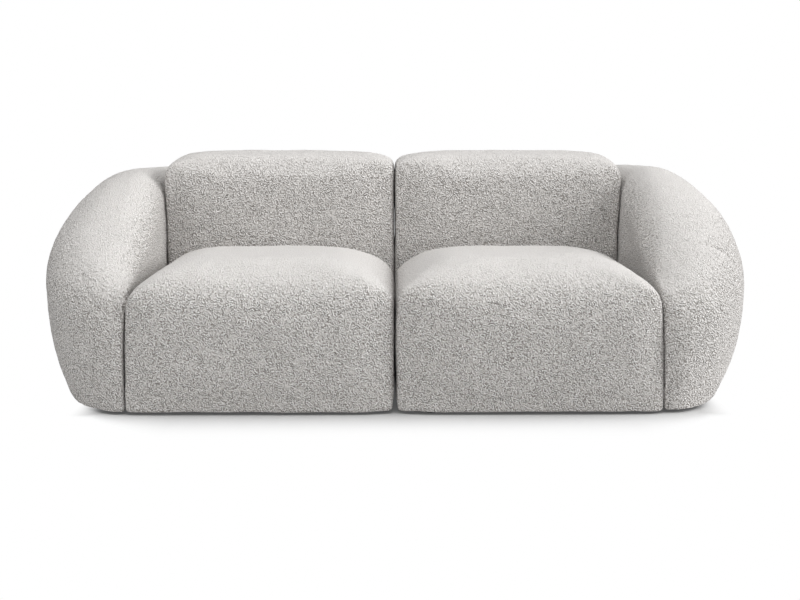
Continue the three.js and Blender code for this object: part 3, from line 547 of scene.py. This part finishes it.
def pressCrease(piece, crease):
    # a narrow groove, deepest in the middle of its path, in a wide shallow valley, as -depth exp(-(d/reach)^2),
    # and the fuller place above it, along the surface's own direction
    places, normals = placesOf(piece.data), normalsOf(piece.data)
    distance, along = distanceToPath(places, crease["path"])
    share = hill(along, crease["deepest"], crease["run"])
    height = -share * crease["depth"] * hill(distance, 0, crease["reach"])
    height -= share * crease["valley"] * hill(distance, 0, crease["valleyReach"])
    fromPillow = np.linalg.norm(places - crease["pillow"], axis=1)
    height += crease["rise"] * hill(fromPillow, 0, crease["riseReach"])
    movePlaces(piece.data, places + normals * height[:, None])


def restingShare(piece, block, cloth):
    # what the seat and the cushion rest on: the bottom and the rear hold the cover, as do the two sides
    x, y, z = placesOf(piece.data).T
    edge = smooth(np.minimum(z - block["bottom"], block["rear"] - y), *cloth["heldEdge"])
    sides = smooth(np.minimum(x - sofa["gapHalf"], sofa["blockRight"] - x), *cloth["heldSides"])
    return np.maximum(edge, cloth["sideHold"] * sides)


softPieces, blocks = {}, {}
for kind, block in (("seat", seatShape), ("backCushion", cushionShape)):
    blocks[kind] = makeBlock(kind + "Cover", block)
    swellCloth(blocks[kind], clothSettings, restingShare(blocks[kind], block, clothSettings))

for number, (half, side) in enumerate(halves.items()):
    arm = dict(armShape, **armChanges[half])
    built = dict(blocks, arm=makeArm("armCover", arm), outsideBack=makeOutsideBack("backCover", arm))
    for kind, source in built.items():
        name = f"{half}{kind[0].upper()}{kind[1:]}"
        piece = copied(source, name, side)
        subdivide(piece)
        if kind != "backCushion":
            hangHem(piece, side, hemPath(arm))
        outward = (side, 1, 1)
        shifted = shiftWall(placesOf(piece.data) * outward, half, covers[kind]["wallReach"])
        movePlaces(piece.data, shifted * outward)
        unevenSurface(piece, 10 * number + len(kind), covers[kind]["uneven"])
        if (half, kind) == ("right", "arm"):
            pressCrease(piece, armCrease)
        piece.data.shade_smooth()
        softPieces[half, kind] = piece
        print("made", name, len(piece.data.polygons), "faces")
    for kind in ("arm", "outsideBack"):
        bpy.data.objects.remove(built[kind])
for source in blocks.values():
    bpy.data.objects.remove(source)

for (half, kind), piece in softPieces.items():
    node = covers[kind]["stands"]
    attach(piece, f"{half}_half")
    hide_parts(f"{half}_{node}_cover", f"{half}_{node}_foam")

dustShape = dict(
    inset=0.018, front=-0.462, rear=0.442, height=0.0172, thick=0.0012, sag=0.0022, across=48, along=64,
    endRound=0.06, endReach=0.06,  # how far its corners draw in, and over what share of its length
    leastPastSeat=-0.05,
)


def makeDustCover(name, half, side, cover):
    # A flat sheet whose outer edge follows the arm's underside: x = share of the way out, y, and a sag of
    # sin(pi across) sin(pi along) between the edges where it is stapled.
    rings = armRings(dict(armShape, **armChanges[half]))
    low = rings[:, :, 2] < sofa["hem"] + sofa["onHem"]
    under = rings[np.arange(len(rings)), np.argmax(rings[:, :, 0] * low, axis=1)]
    order = np.argsort(under[:, 1])
    v, u = np.meshgrid(np.linspace(0, 1, cover["along"]), np.linspace(0, 1, cover["across"]), indexing="ij")
    y = mix(cover["front"], cover["rear"], v)
    outline = np.interp(y, under[order, 1], under[order, 0]) - cover["inset"]
    roundEnd = cover["endRound"] * (hill(v, 0, cover["endReach"]) + hill(v, 1, cover["endReach"]))
    farthest = np.maximum(outline - roundEnd, sofa["blockRight"] + cover["leastPastSeat"])
    x = mix(sofa["gapHalf"] + cover["inset"], farthest, u)
    z = cover["height"] - cover["thick"] - cover["sag"] * np.sin(np.pi * u) * np.sin(np.pi * v)
    grid = np.stack([side * x, y, z], 2).reshape(-1, 3)
    here = np.arange(x.size).reshape(x.shape)
    corners = [here[:-1, :-1], here[:-1, 1:], here[1:, 1:], here[1:, :-1]]
    quads = np.stack(corners[::-side], -1).reshape(-1, 4)  # so that the faces look up on both halves
    mesh = bpy.data.meshes.new(name)
    mesh.from_pydata(grid.tolist(), [], quads.tolist())
    piece = makeObject(name, mesh)
    a, b, c, d = grid[quads].transpose(1, 0, 2)
    area = 0.5 * np.linalg.norm(np.cross(c - a, d - b), axis=1).sum()
    solid = piece.modifiers.new("cloth", "SOLIDIFY")
    solid.thickness, solid.offset = cover["thick"], 1.0
    bake(piece)
    piece.data.shade_smooth()
    return piece, float(np.ptp(x)), float(np.ptp(y)), float(area)


dustCovers = []
for half, side in halves.items():
    piece, width, length, area = makeDustCover(f"{half}DustCover", half, side, dustShape)
    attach(piece, f"{half}_half")
    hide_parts(f"{half}_dust_cover")
    dustCovers.append(piece)
    print("dust cover", half, round(width, 3), "by", round(length, 3), "m,", round(area, 3), "square metres")

# materials: helpers that place nodes, then the shared groups, and a maker for each finish


def addNode(tree, kind, settings=None, **links):
    # a node with its settings, its inputs linked or set; n0, n1 and so on name an input by its number
    node = tree.nodes.new("ShaderNode" + kind)
    for key, value in (settings or {}).items():
        setattr(node, key, value)
    for key, value in links.items():
        socket = node.inputs[int(key[1:]) if key[1:].isdigit() else key]
        if isinstance(value, bpy.types.NodeSocket):
            tree.links.new(value, socket)
        else:
            socket.default_value = value
    return node


def maths(tree, operation, a, b=0.0, c=0.0):
    return addNode(tree, "Math", {"operation": operation}, n0=a, n1=b, n2=c).outputs[0]


def inOrder(tree, operation, result, *others):
    # one sum after another over a row of values
    for value in others:
        result = maths(tree, operation, result, value)
    return result


def vectorMaths(tree, operation, a, b=(0, 0, 0)):
    key = "n3" if operation == "SCALE" else "n1"
    node = addNode(tree, "VectorMath", {"operation": operation}, n0=a, **{key: b})
    return node.outputs["Value" if operation in ("DOT_PRODUCT", "LENGTH") else "Vector"]


def ramp(tree, value, low, high, start=0.0, end=1.0, kind="SMOOTHSTEP"):
    # start below low, end above high, and an even or smooth passage between
    settings = {"interpolation_type": kind}
    return addNode(tree, "MapRange", settings, n0=value, n1=low, n2=high, n3=start, n4=end).outputs[0]


def noise(tree, place, perMetre, detail):
    return addNode(tree, "TexNoise", n0=place, Scale=perMetre, Detail=detail).outputs


def partOf(tree, vector, axis):
    # x, y or z of a vector
    return addNode(tree, "SeparateXYZ", n0=vector).outputs[axis]


def blended(tree, share, first, second):
    # two colours mixed by a share
    return addNode(tree, "Mix", {"data_type": "RGBA"}, n0=share, n6=first, n7=second).outputs[2]


def newGroup(name, inputs, outputs):
    # an empty group with its named sockets, and what its inputs give inside it
    group = bpy.data.node_groups.new(name, "ShaderNodeTree")
    for label, value in inputs.items():
        kind = "NodeSocketVector" if isinstance(value, tuple) else "NodeSocketFloat"
        group.interface.new_socket(name=label, in_out="INPUT", socket_type=kind).default_value = value
    for label in outputs:
        group.interface.new_socket(name=label, in_out="OUTPUT", socket_type="NodeSocketFloat")
    given = group.nodes.new("NodeGroupInput").outputs
    return group, [given[label] for label in inputs]


def putOut(group, **values):
    # what the group gives
    result = group.nodes.new("NodeGroupOutput")
    for label, value in values.items():
        group.links.new(value, result.inputs[label])
    return group


def newMaterial(name, fixed):
    # an empty material with its shader, whose fixed values are set, and the object's own coordinates
    material = bpy.data.materials.new(name)
    material.use_nodes = True
    tree = material.node_tree
    tree.nodes.clear()
    shader = addNode(tree, "BsdfPrincipled")
    for key, value in fixed.items():
        shader.inputs[key].default_value = value
    addNode(tree, "OutputMaterial", Surface=shader.outputs[0])
    return material, tree, shader, addNode(tree, "TexCoord").outputs["Object"]


def addBump(tree, shader, settings, height):
    bump = addNode(tree, "Bump", Strength=settings["bump"], Distance=settings["bumpDepth"], Height=height)
    tree.links.new(bump.outputs[0], shader.inputs["Normal"])


# the paler colour is the yarn's own; the darker one is painted shade for the hollows between the loops
loopFabric = dict(
    pale=(0.97, 0.952, 0.935, 1), deep=(0.33, 0.303, 0.278, 1), roughness=1.0, sheen=0.1, sheenRoughness=0.5,
    gloss=0.15, bump=1.0, bumpDepth=0.0018, loops=138.0, bend=0.0045, lean=(0.34, 0.24, 0),
)
strokeShape = dict(
    layers=((115.0, 3.1), (99.0, 8.7), (132.0, 5.3)),  # cells per metre, and how far the layer is shifted
    rim=(0.2, 0.72),  # of a cell's size, between which its strokes fade
    soften=0.08,
    bendsPerMetre=60.0, unevenPerMetre=125.0, unevenFrom=(0.3, 0.7), uneven=(0.15, 1.75),
    facingUp=(0.36, 1.0), pressedHeight=0.3, pressedHollow=0.76,
)


def boucleGroup(strokes):
    # Curly loops. On each of the three coordinate planes, small irregular cells each hold a few strokes of
    # yarn side by side, as sin(2 pi loops (distance along the cell's own direction) + its own start), faded
    # towards the cell's rim. Three layers of cells are added, and the sum is divided by its own strength,
    # the root of (sines squared + cosines squared), so every stroke stands equally high. The planes are
    # weighed by how squarely the surface faces them. The lower the height, the deeper the painted shade of
    # the hollows between the loops. Where it faces up, and is sat and leaned on, the loops are pressed
    # flatter, which closes the hollows and makes their painted shade lighter. The lean turns more of the
    # strokes one way.
    inputs = {"Place": (0, 0, 0), "Facing": (0, 0, 1), "Loops per metre": 125.0, "Bend": 0.006, "Lean": (0, 0, 0)}
    group, (place, facing, loops, bend, lean) = newGroup("curlyLoops", inputs, ["Height", "Hollow"])
    middle, turnsPerMetre = (0.5, 0.5, 0.5), maths(group, "MULTIPLY", loops, 2 * math.pi)
    away = vectorMaths(group, "SUBTRACT", noise(group, place, strokes["bendsPerMetre"], 0.0)["Color"], middle)
    bent = vectorMaths(group, "ADD", place, vectorMaths(group, "SCALE", away, bend))
    weight = vectorMaths(group, "MULTIPLY", facing, facing)
    weight = vectorMaths(group, "NORMALIZE", vectorMaths(group, "MULTIPLY", weight, weight))
    axes = addNode(group, "SeparateXYZ", n0=bent).outputs
    sums = []
    for axis in range(3):
        flat = addNode(group, "CombineXYZ", n0=axes[(axis + 1) % 3], n1=axes[(axis + 2) % 3]).outputs[0]
        sineSum = cosineSum = 0.0
        for cells, shift in strokes["layers"]:
            moved = vectorMaths(group, "ADD", flat, (shift + axis, shift - axis, 0))
            cell = addNode(group, "TexVoronoi", {"voronoi_dimensions": "2D"}, Vector=moved, Scale=cells)
            chance = vectorMaths(group, "SUBTRACT", cell.outputs["Color"], middle)
            leaning = vectorMaths(group, "ADD", vectorMaths(group, "MULTIPLY", chance, (1, 1, 0)), lean)
            fromMiddle = vectorMaths(group, "SUBTRACT", moved, cell.outputs["Position"])
            along = vectorMaths(group, "DOT_PRODUCT", fromMiddle, vectorMaths(group, "NORMALIZE", leaning))
            along = maths(group, "MULTIPLY", along, turnsPerMetre)
            turn = maths(group, "MULTIPLY_ADD", partOf(group, chance, 2), 2 * math.pi, along)
            fade = ramp(group, cell.outputs["Distance"], *strokes["rim"], 1.0, 0.0)
            sineSum = maths(group, "MULTIPLY_ADD", maths(group, "SINE", turn), fade, sineSum)
            cosineSum = maths(group, "MULTIPLY_ADD", maths(group, "COSINE", turn), fade, cosineSum)
        squares = maths(group, "MULTIPLY_ADD", sineSum, sineSum, maths(group, "MULTIPLY", cosineSum, cosineSum))
        strength = maths(group, "ADD", maths(group, "SQRT", squares), strokes["soften"])
        sums.append(maths(group, "DIVIDE", sineSum, strength))
    joined = addNode(group, "CombineXYZ", n0=sums[0], n1=sums[1], n2=sums[2]).outputs[0]
    stands = ramp(group, partOf(group, facing, 2), *strokes["facingUp"], 1.0, strokes["pressedHeight"])
    uneven = noise(group, place, strokes["unevenPerMetre"], 1.0)[0]
    uneven = ramp(group, uneven, *strokes["unevenFrom"], *strokes["uneven"], "LINEAR")
    height = inOrder(group, "MULTIPLY", vectorMaths(group, "DOT_PRODUCT", joined, weight), stands, uneven)
    # the mask for the painted shade in the hollows, lighter where the loops are pressed
    pressed = ramp(group, stands, strokes["pressedHeight"], 1.0, strokes["pressedHollow"], 1.0, "LINEAR")
    hollowShadeMask = maths(group, "MULTIPLY", ramp(group, height, -1.0, 1.0, 1.0, 0.0, "LINEAR"), pressed)
    return putOut(group, Height=height, Hollow=hollowShadeMask)


def makeBoucle(settings):
    # pale on the loops and painted shade, a darker colour, in the hollows between them, raised by the loops' own height
    material, tree, shader, place = newMaterial("loopedPile", {
        "Roughness": settings["roughness"], "Specular IOR Level": settings["gloss"],
        "Sheen Weight": settings["sheen"], "Sheen Roughness": settings["sheenRoughness"],
    })
    given = {"Place": place, "Facing": place.node.outputs["Normal"], "Loops per metre": settings["loops"],
             "Bend": settings["bend"], "Lean": settings["lean"]}
    loops = addNode(tree, "Group", {"node_tree": boucleGroup(strokeShape)}, **given).outputs
    tree.links.new(blended(tree, loops["Hollow"], settings["pale"], settings["deep"]), shader.inputs["Base Color"])
    addBump(tree, shader, settings, loops["Height"])
    return material


grain = dict(
    ringShare=0.5, bendsPerMetre=1.3, bendBy=6.0, poresPerMetre=60.0, poresFrom=(0.55, 0.75), raised=0.4, sunk=0.6,
)


def sawnGrainGroup(wood):
    # Wood: rings as the sine of a bent distance across the grain, drawn out along it, with fine pores.
    inputs = {"Place": (0, 0, 0), "Stretch": (1, 12, 12), "Rings per metre": 120.0, "Wander": 2.0}
    group, (place, stretch, rings, wander) = newGroup("sawnGrain", inputs, ["Grain", "Pores", "Height"])
    drawn = vectorMaths(group, "MULTIPLY", place, stretch)
    across = inOrder(group, "MULTIPLY", vectorMaths(group, "LENGTH", drawn), rings, wood["ringShare"])
    bend = inOrder(group, "MULTIPLY", noise(group, drawn, wood["bendsPerMetre"], 2.0)[0], wander, wood["bendBy"])
    dark = ramp(group, maths(group, "SINE", maths(group, "ADD", across, bend)), -1.0, 1.0)
    pores = ramp(group, noise(group, drawn, wood["poresPerMetre"], 3.0)[0], *wood["poresFrom"], kind="LINEAR")
    sunk = maths(group, "MULTIPLY", pores, wood["sunk"])
    height = maths(group, "SUBTRACT", maths(group, "MULTIPLY", dark, wood["raised"]), sunk)
    return putOut(group, Grain=dark, Pores=pores, Height=height)


wear = dict(patchFrom=(0.35, 0.65), patchShare=0.35, fleckDepth=0.5, fleckShare=0.5)


def unevenToneGroup(wear):
    # Handling marks: broad soft patches, small flecks, and a fine roughness of the skin.
    inputs = {"Place": (0, 0, 0), "Patches per metre": 20.0, "Flecks per metre": 300.0, "Fleck share": 0.4}
    group, (place, patches, flecks, share) = newGroup("unevenTone", inputs, ["Patch", "Fleck", "Height"])
    patch = ramp(group, noise(group, place, patches, 2.0)[0], *wear["patchFrom"])
    cells = addNode(group, "TexVoronoi", Vector=place, Scale=flecks).outputs
    fleck = maths(group, "MULTIPLY", partOf(group, cells["Color"], 0), share)
    return putOut(group, Patch=patch, Fleck=fleck, Height=cells["Distance"])


def finishHard(name, settings, group, given, masks):
    # one colour laid over another by a mask of the group, with its roughness and bump from the group too
    material, tree, shader, place = newMaterial(name, {"Metallic": settings.get("metallic", 0.0)})
    effect = addNode(tree, "Group", {"node_tree": group}, Place=place, **given).outputs
    colour = settings["colour"]
    for mask, over, amount in masks:
        colour = blended(tree, maths(tree, "MULTIPLY", effect[mask], amount), colour, over)
    tree.links.new(colour, shader.inputs["Base Color"])
    tree.links.new(ramp(tree, effect[0], 0.0, 1.0, *settings["roughness"], "LINEAR"), shader.inputs["Roughness"])
    addBump(tree, shader, settings, effect["Height"])
    return material, tree, shader, place


timber = dict(colour=(0.66, 0.47, 0.27, 1), dark=(0.45, 0.27, 0.12, 1), pore=(0.30, 0.17, 0.08, 1),
              roughness=(0.62, 0.5), bump=0.5, bumpDepth=0.0006, rings=110.0, wander=1.6, drawn=14.0,
              grainShare=0.45, poreShare=0.5)
plywood = dict(colour=(0.72, 0.55, 0.34, 1), dark=(0.52, 0.35, 0.18, 1), pore=(0.33, 0.2, 0.1, 1),
               ply=(0.30, 0.18, 0.09, 1), plyThickness=0.0024, plyShare=0.75, plyEdge=0.15, edgeFrom=(0.6, 0.3),
               roughness=(0.58, 0.46), bump=0.4, bumpDepth=0.0004, rings=60.0, wander=2.6, drawn=9.0,
               grainShare=0.35, poreShare=0.35)
springWire = dict(colour=(0.16, 0.16, 0.165, 1), worn=(0.34, 0.33, 0.32, 1), roughness=(0.32, 0.5), bump=0.3,
                  bumpDepth=0.0001, patches=45.0, flecks=900.0, metallic=1.0)
zincPlate = dict(colour=(0.60, 0.61, 0.64, 1), worn=(0.74, 0.74, 0.72, 1), roughness=(0.28, 0.42), bump=0.2,
                 bumpDepth=0.0001, patches=30.0, flecks=420.0, metallic=1.0)
mouldedPlastic = dict(colour=(0.024, 0.024, 0.026, 1), worn=(0.07, 0.07, 0.072, 1), roughness=(0.5, 0.62), bump=0.4,
                      bumpDepth=0.0002, patches=25.0, flecks=1400.0)
lining = dict(colour=(0.035, 0.035, 0.037, 1), worn=(0.075, 0.075, 0.078, 1), roughness=(0.9, 1.0), bump=0.6,
              bumpDepth=0.0004, patches=8.0, flecks=520.0)

sawnGrain, unevenTone = sawnGrainGroup(grain), unevenToneGroup(wear)


def makeWood(name, wood, along):
    # the grain is drawn out along one axis
    stretch = tuple(1.0 if axis == along else wood["drawn"] for axis in "xyz")
    given = {"Stretch": stretch, "Rings per metre": wood["rings"], "Wander": wood["wander"]}
    masks = [("Grain", wood["dark"], wood["grainShare"]), ("Pores", wood["pore"], wood["poreShare"])]
    return finishHard(name, wood, sawnGrain, given, masks)


def makePlywood(name, wood, across):
    # the face veneer's grain, and on the edges dark and pale plies by turns across the board's thickness
    material, tree, shader, place = makeWood(name, wood, "y" if across == "z" else "x")
    axis = "xyz".index(across)
    facing = maths(tree, "ABSOLUTE", partOf(tree, place.node.outputs["Normal"], axis))
    edge = ramp(tree, facing, *wood["edgeFrom"], 0.0, wood["plyShare"], "LINEAR")
    turn = maths(tree, "MULTIPLY", partOf(tree, place, axis), math.pi / wood["plyThickness"])
    stripe = ramp(tree, maths(tree, "SINE", turn), -wood["plyEdge"], wood["plyEdge"], kind="LINEAR")
    face = shader.inputs["Base Color"].links[0].from_socket
    whole = blended(tree, maths(tree, "MULTIPLY", edge, stripe), face, wood["ply"])
    tree.links.new(whole, shader.inputs["Base Color"])
    return material


def makeSkin(name, skin):
    # a plain colour, worn paler in patches and in flecks
    given = {"Patches per metre": skin["patches"], "Flecks per metre": skin["flecks"],
             "Fleck share": wear["fleckDepth"]}
    masks = [("Patch", skin["worn"], wear["patchShare"]), ("Fleck", skin["worn"], wear["fleckShare"])]
    return finishHard(name, skin, unevenTone, given, masks)[0]


boucle = makeBoucle(loopFabric)
finishes = {
    "front_rail": makeWood("timberAcross", timber, "x")[0], "inner_side_rail": makeWood("timberDeep", timber, "y")[0],
    "arm_base_plate": makePlywood("plywoodFlat", plywood, "z"),
    "back_panel": makePlywood("plywoodUpright", plywood, "y"),
    "spring": makeSkin("springWire", springWire), "bolt": makeSkin("zincPlate", zincPlate),
    "foot": makeSkin("mouldedPlastic", mouldedPlastic), "dust_cover": makeSkin("lining", lining),
}
alike = {
    "middle_rail": "front_rail", "rear_rail": "front_rail", "outer_side_rail": "inner_side_rail",
    "arm_side_rail": "inner_side_rail", "arm_rib": "back_panel", "hook": "bolt",
}


def dress(piece, material):
    # one finish for the whole piece
    piece.data.materials.clear()
    piece.data.materials.append(material)


for piece in softPieces.values():
    dress(piece, boucle)
for piece in dustCovers:
    dress(piece, finishes["dust_cover"])
for name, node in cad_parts.items():
    for part in list(alike) + list(finishes):
        if part in name and "dust" not in name:
            dress(node, finishes[alike.get(part, part)])
            break
print("materials ready")

studio = dict(
    # the darker floor colour is a painted shadow close to the sofa, within the nearness in metres
    reach=30.0, floorPale=(0.86, 0.86, 0.86, 1), floorPaintedShadow=(0.16, 0.16, 0.16, 1), nearness=0.28, shadowGlow=0.075,
    shadowMiddle=(0.02, 0, 0), shadowBox=(0.82, 0.16, 0),
    shadowReach=0.30,  # metres outside that box at which the floor starts to turn white
    whiteTo=0.26,  # metres in front of the seats over which it turns white
    whiteBeside=0.07,  # the same in front of the arms
    armsFrom=(0.68, 0.92),  # metres from the middle, between which the one passes into the other
    whiteFrom=(0.90, 1.0),  # and where it turns white beside the arms, however near
    lamps={
        "overFront": dict(place=(0, -1.7, 3.0), aim=(0, 0, 0.4), size=(3.0, 1.4), power=55),
        "overhead": dict(place=(0, -0.2, 3.2), aim=(0, 0, 0.3), size=(3.4, 2.4), power=9),
        "farRight": dict(place=(7.6, -0.8, 3.6), aim=(0, 0, 0.5), size=(5.0, 5.0), power=610),
        "lowLeft": dict(place=(-3.6, -2.6, 0.9), aim=(-0.5, 0, 0.3), size=(1.6, 1.6), power=25),
        "upLeft": dict(place=(-2.6, -0.7, 2.8), aim=(-0.3, 0, 0.4), size=(1.6, 1.6), power=19),
        "behind": dict(place=(0, 4.2, 0.85), aim=(0, 0, 0.4), size=(4.0, 1.3), power=95),
    },
    sky=0.01,
)


def seenDirectly(tree):
    # 1 for what the camera sees, straight or in gloss or through glass, and 0 for light on its way
    path = addNode(tree, "LightPath").outputs
    return inOrder(tree, "MAXIMUM", *[path[f"Is {kind} Ray"] for kind in ("Camera", "Glossy", "Transmission")])


def makeFloor(settings):
    # a flat floor with a painted shadow close to the sofa, that fades to white away from it
    mesh = bpy.data.meshes.new("floor")
    reach = settings["reach"]
    corners = [(-reach, -reach, 0), (reach, -reach, 0), (reach, reach, 0), (-reach, reach, 0)]
    mesh.from_pydata(corners, [], [(0, 1, 2, 3)])
    floor = makeObject("floor", mesh)
    fixed = {"Roughness": 0.9, "Specular IOR Level": 0.1, "Emission Color": (1, 1, 1, 1)}
    material, tree, shader, place = newMaterial("paleFloor", fixed)
    mesh.materials.append(material)
    seen = seenDirectly(tree)

    # seen directly, the floor is darker close to the sofa by how little open space is round it: a painted shadow
    near = addNode(tree, "AmbientOcclusion", {"samples": 8}, Distance=settings["nearness"]).outputs["AO"]
    openness = maths(tree, "MAXIMUM", near, maths(tree, "SUBTRACT", 1.0, seen))
    floorWithPaintedShadow = blended(tree, openness, settings["floorPaintedShadow"], settings["floorPale"])
    tree.links.new(floorWithPaintedShadow, shader.inputs["Base Color"])
    tree.links.new(maths(tree, "MULTIPLY", seen, settings["shadowGlow"]), shader.inputs["Emission Strength"])

    # white grows with the distance outside a box under the sofa, sooner in front of the arms, and beside them
    fromMiddle = vectorMaths(tree, "ABSOLUTE", vectorMaths(tree, "SUBTRACT", place, settings["shadowMiddle"]))
    outside = vectorMaths(tree, "MAXIMUM", vectorMaths(tree, "SUBTRACT", fromMiddle, settings["shadowBox"]))
    sideways, start = partOf(tree, fromMiddle, 0), settings["shadowReach"]
    ends = ramp(tree, sideways, *settings["armsFrom"], start + settings["whiteTo"], start + settings["whiteBeside"],
                "LINEAR")
    white = maths(tree, "MAXIMUM", ramp(tree, vectorMaths(tree, "LENGTH", outside), start, ends),
                  ramp(tree, sideways, *settings["whiteFrom"]))
    glow = addNode(tree, "Emission", Color=(1, 1, 1, 1), Strength=1.0)
    share = maths(tree, "MULTIPLY", seen, white)
    both = addNode(tree, "MixShader", n0=share, n1=shader.outputs[0], n2=glow.outputs[0])
    output = next(node for node in tree.nodes if node.type == "OUTPUT_MATERIAL")
    tree.links.new(both.outputs[0], output.inputs["Surface"])


def makeWorld(settings):
    # white where it is seen, and faint as light
    world = bpy.data.worlds.new("studio")
    scene.world = world
    world.use_nodes = True
    tree = world.node_tree
    tree.nodes.clear()
    strength = ramp(tree, seenDirectly(tree), 0.0, 1.0, settings["sky"], 1.0, "LINEAR")
    background = addNode(tree, "Background", Color=(1, 1, 1, 1), Strength=strength)
    addNode(tree, "OutputWorld", Surface=background.outputs[0])


def makeLamp(name, lamp):
    # turned about the upright and then up or down, so that it looks from its place to its aim
    data = bpy.data.lights.new(name, "AREA")
    data.shape = "RECTANGLE"
    data.size, data.size_y = lamp["size"]
    data.energy = lamp["power"]
    light = makeObject(name, data)
    light.location = lamp["place"]
    x, y, z = np.subtract(lamp["aim"], lamp["place"])
    light.rotation_euler = (math.pi / 2 + math.atan2(z, math.hypot(x, y)), 0, -math.atan2(x, y))


makeFloor(studio)
makeWorld(studio)
for name, lamp in studio["lamps"].items():
    makeLamp(name, lamp)
print("stage and light ready")
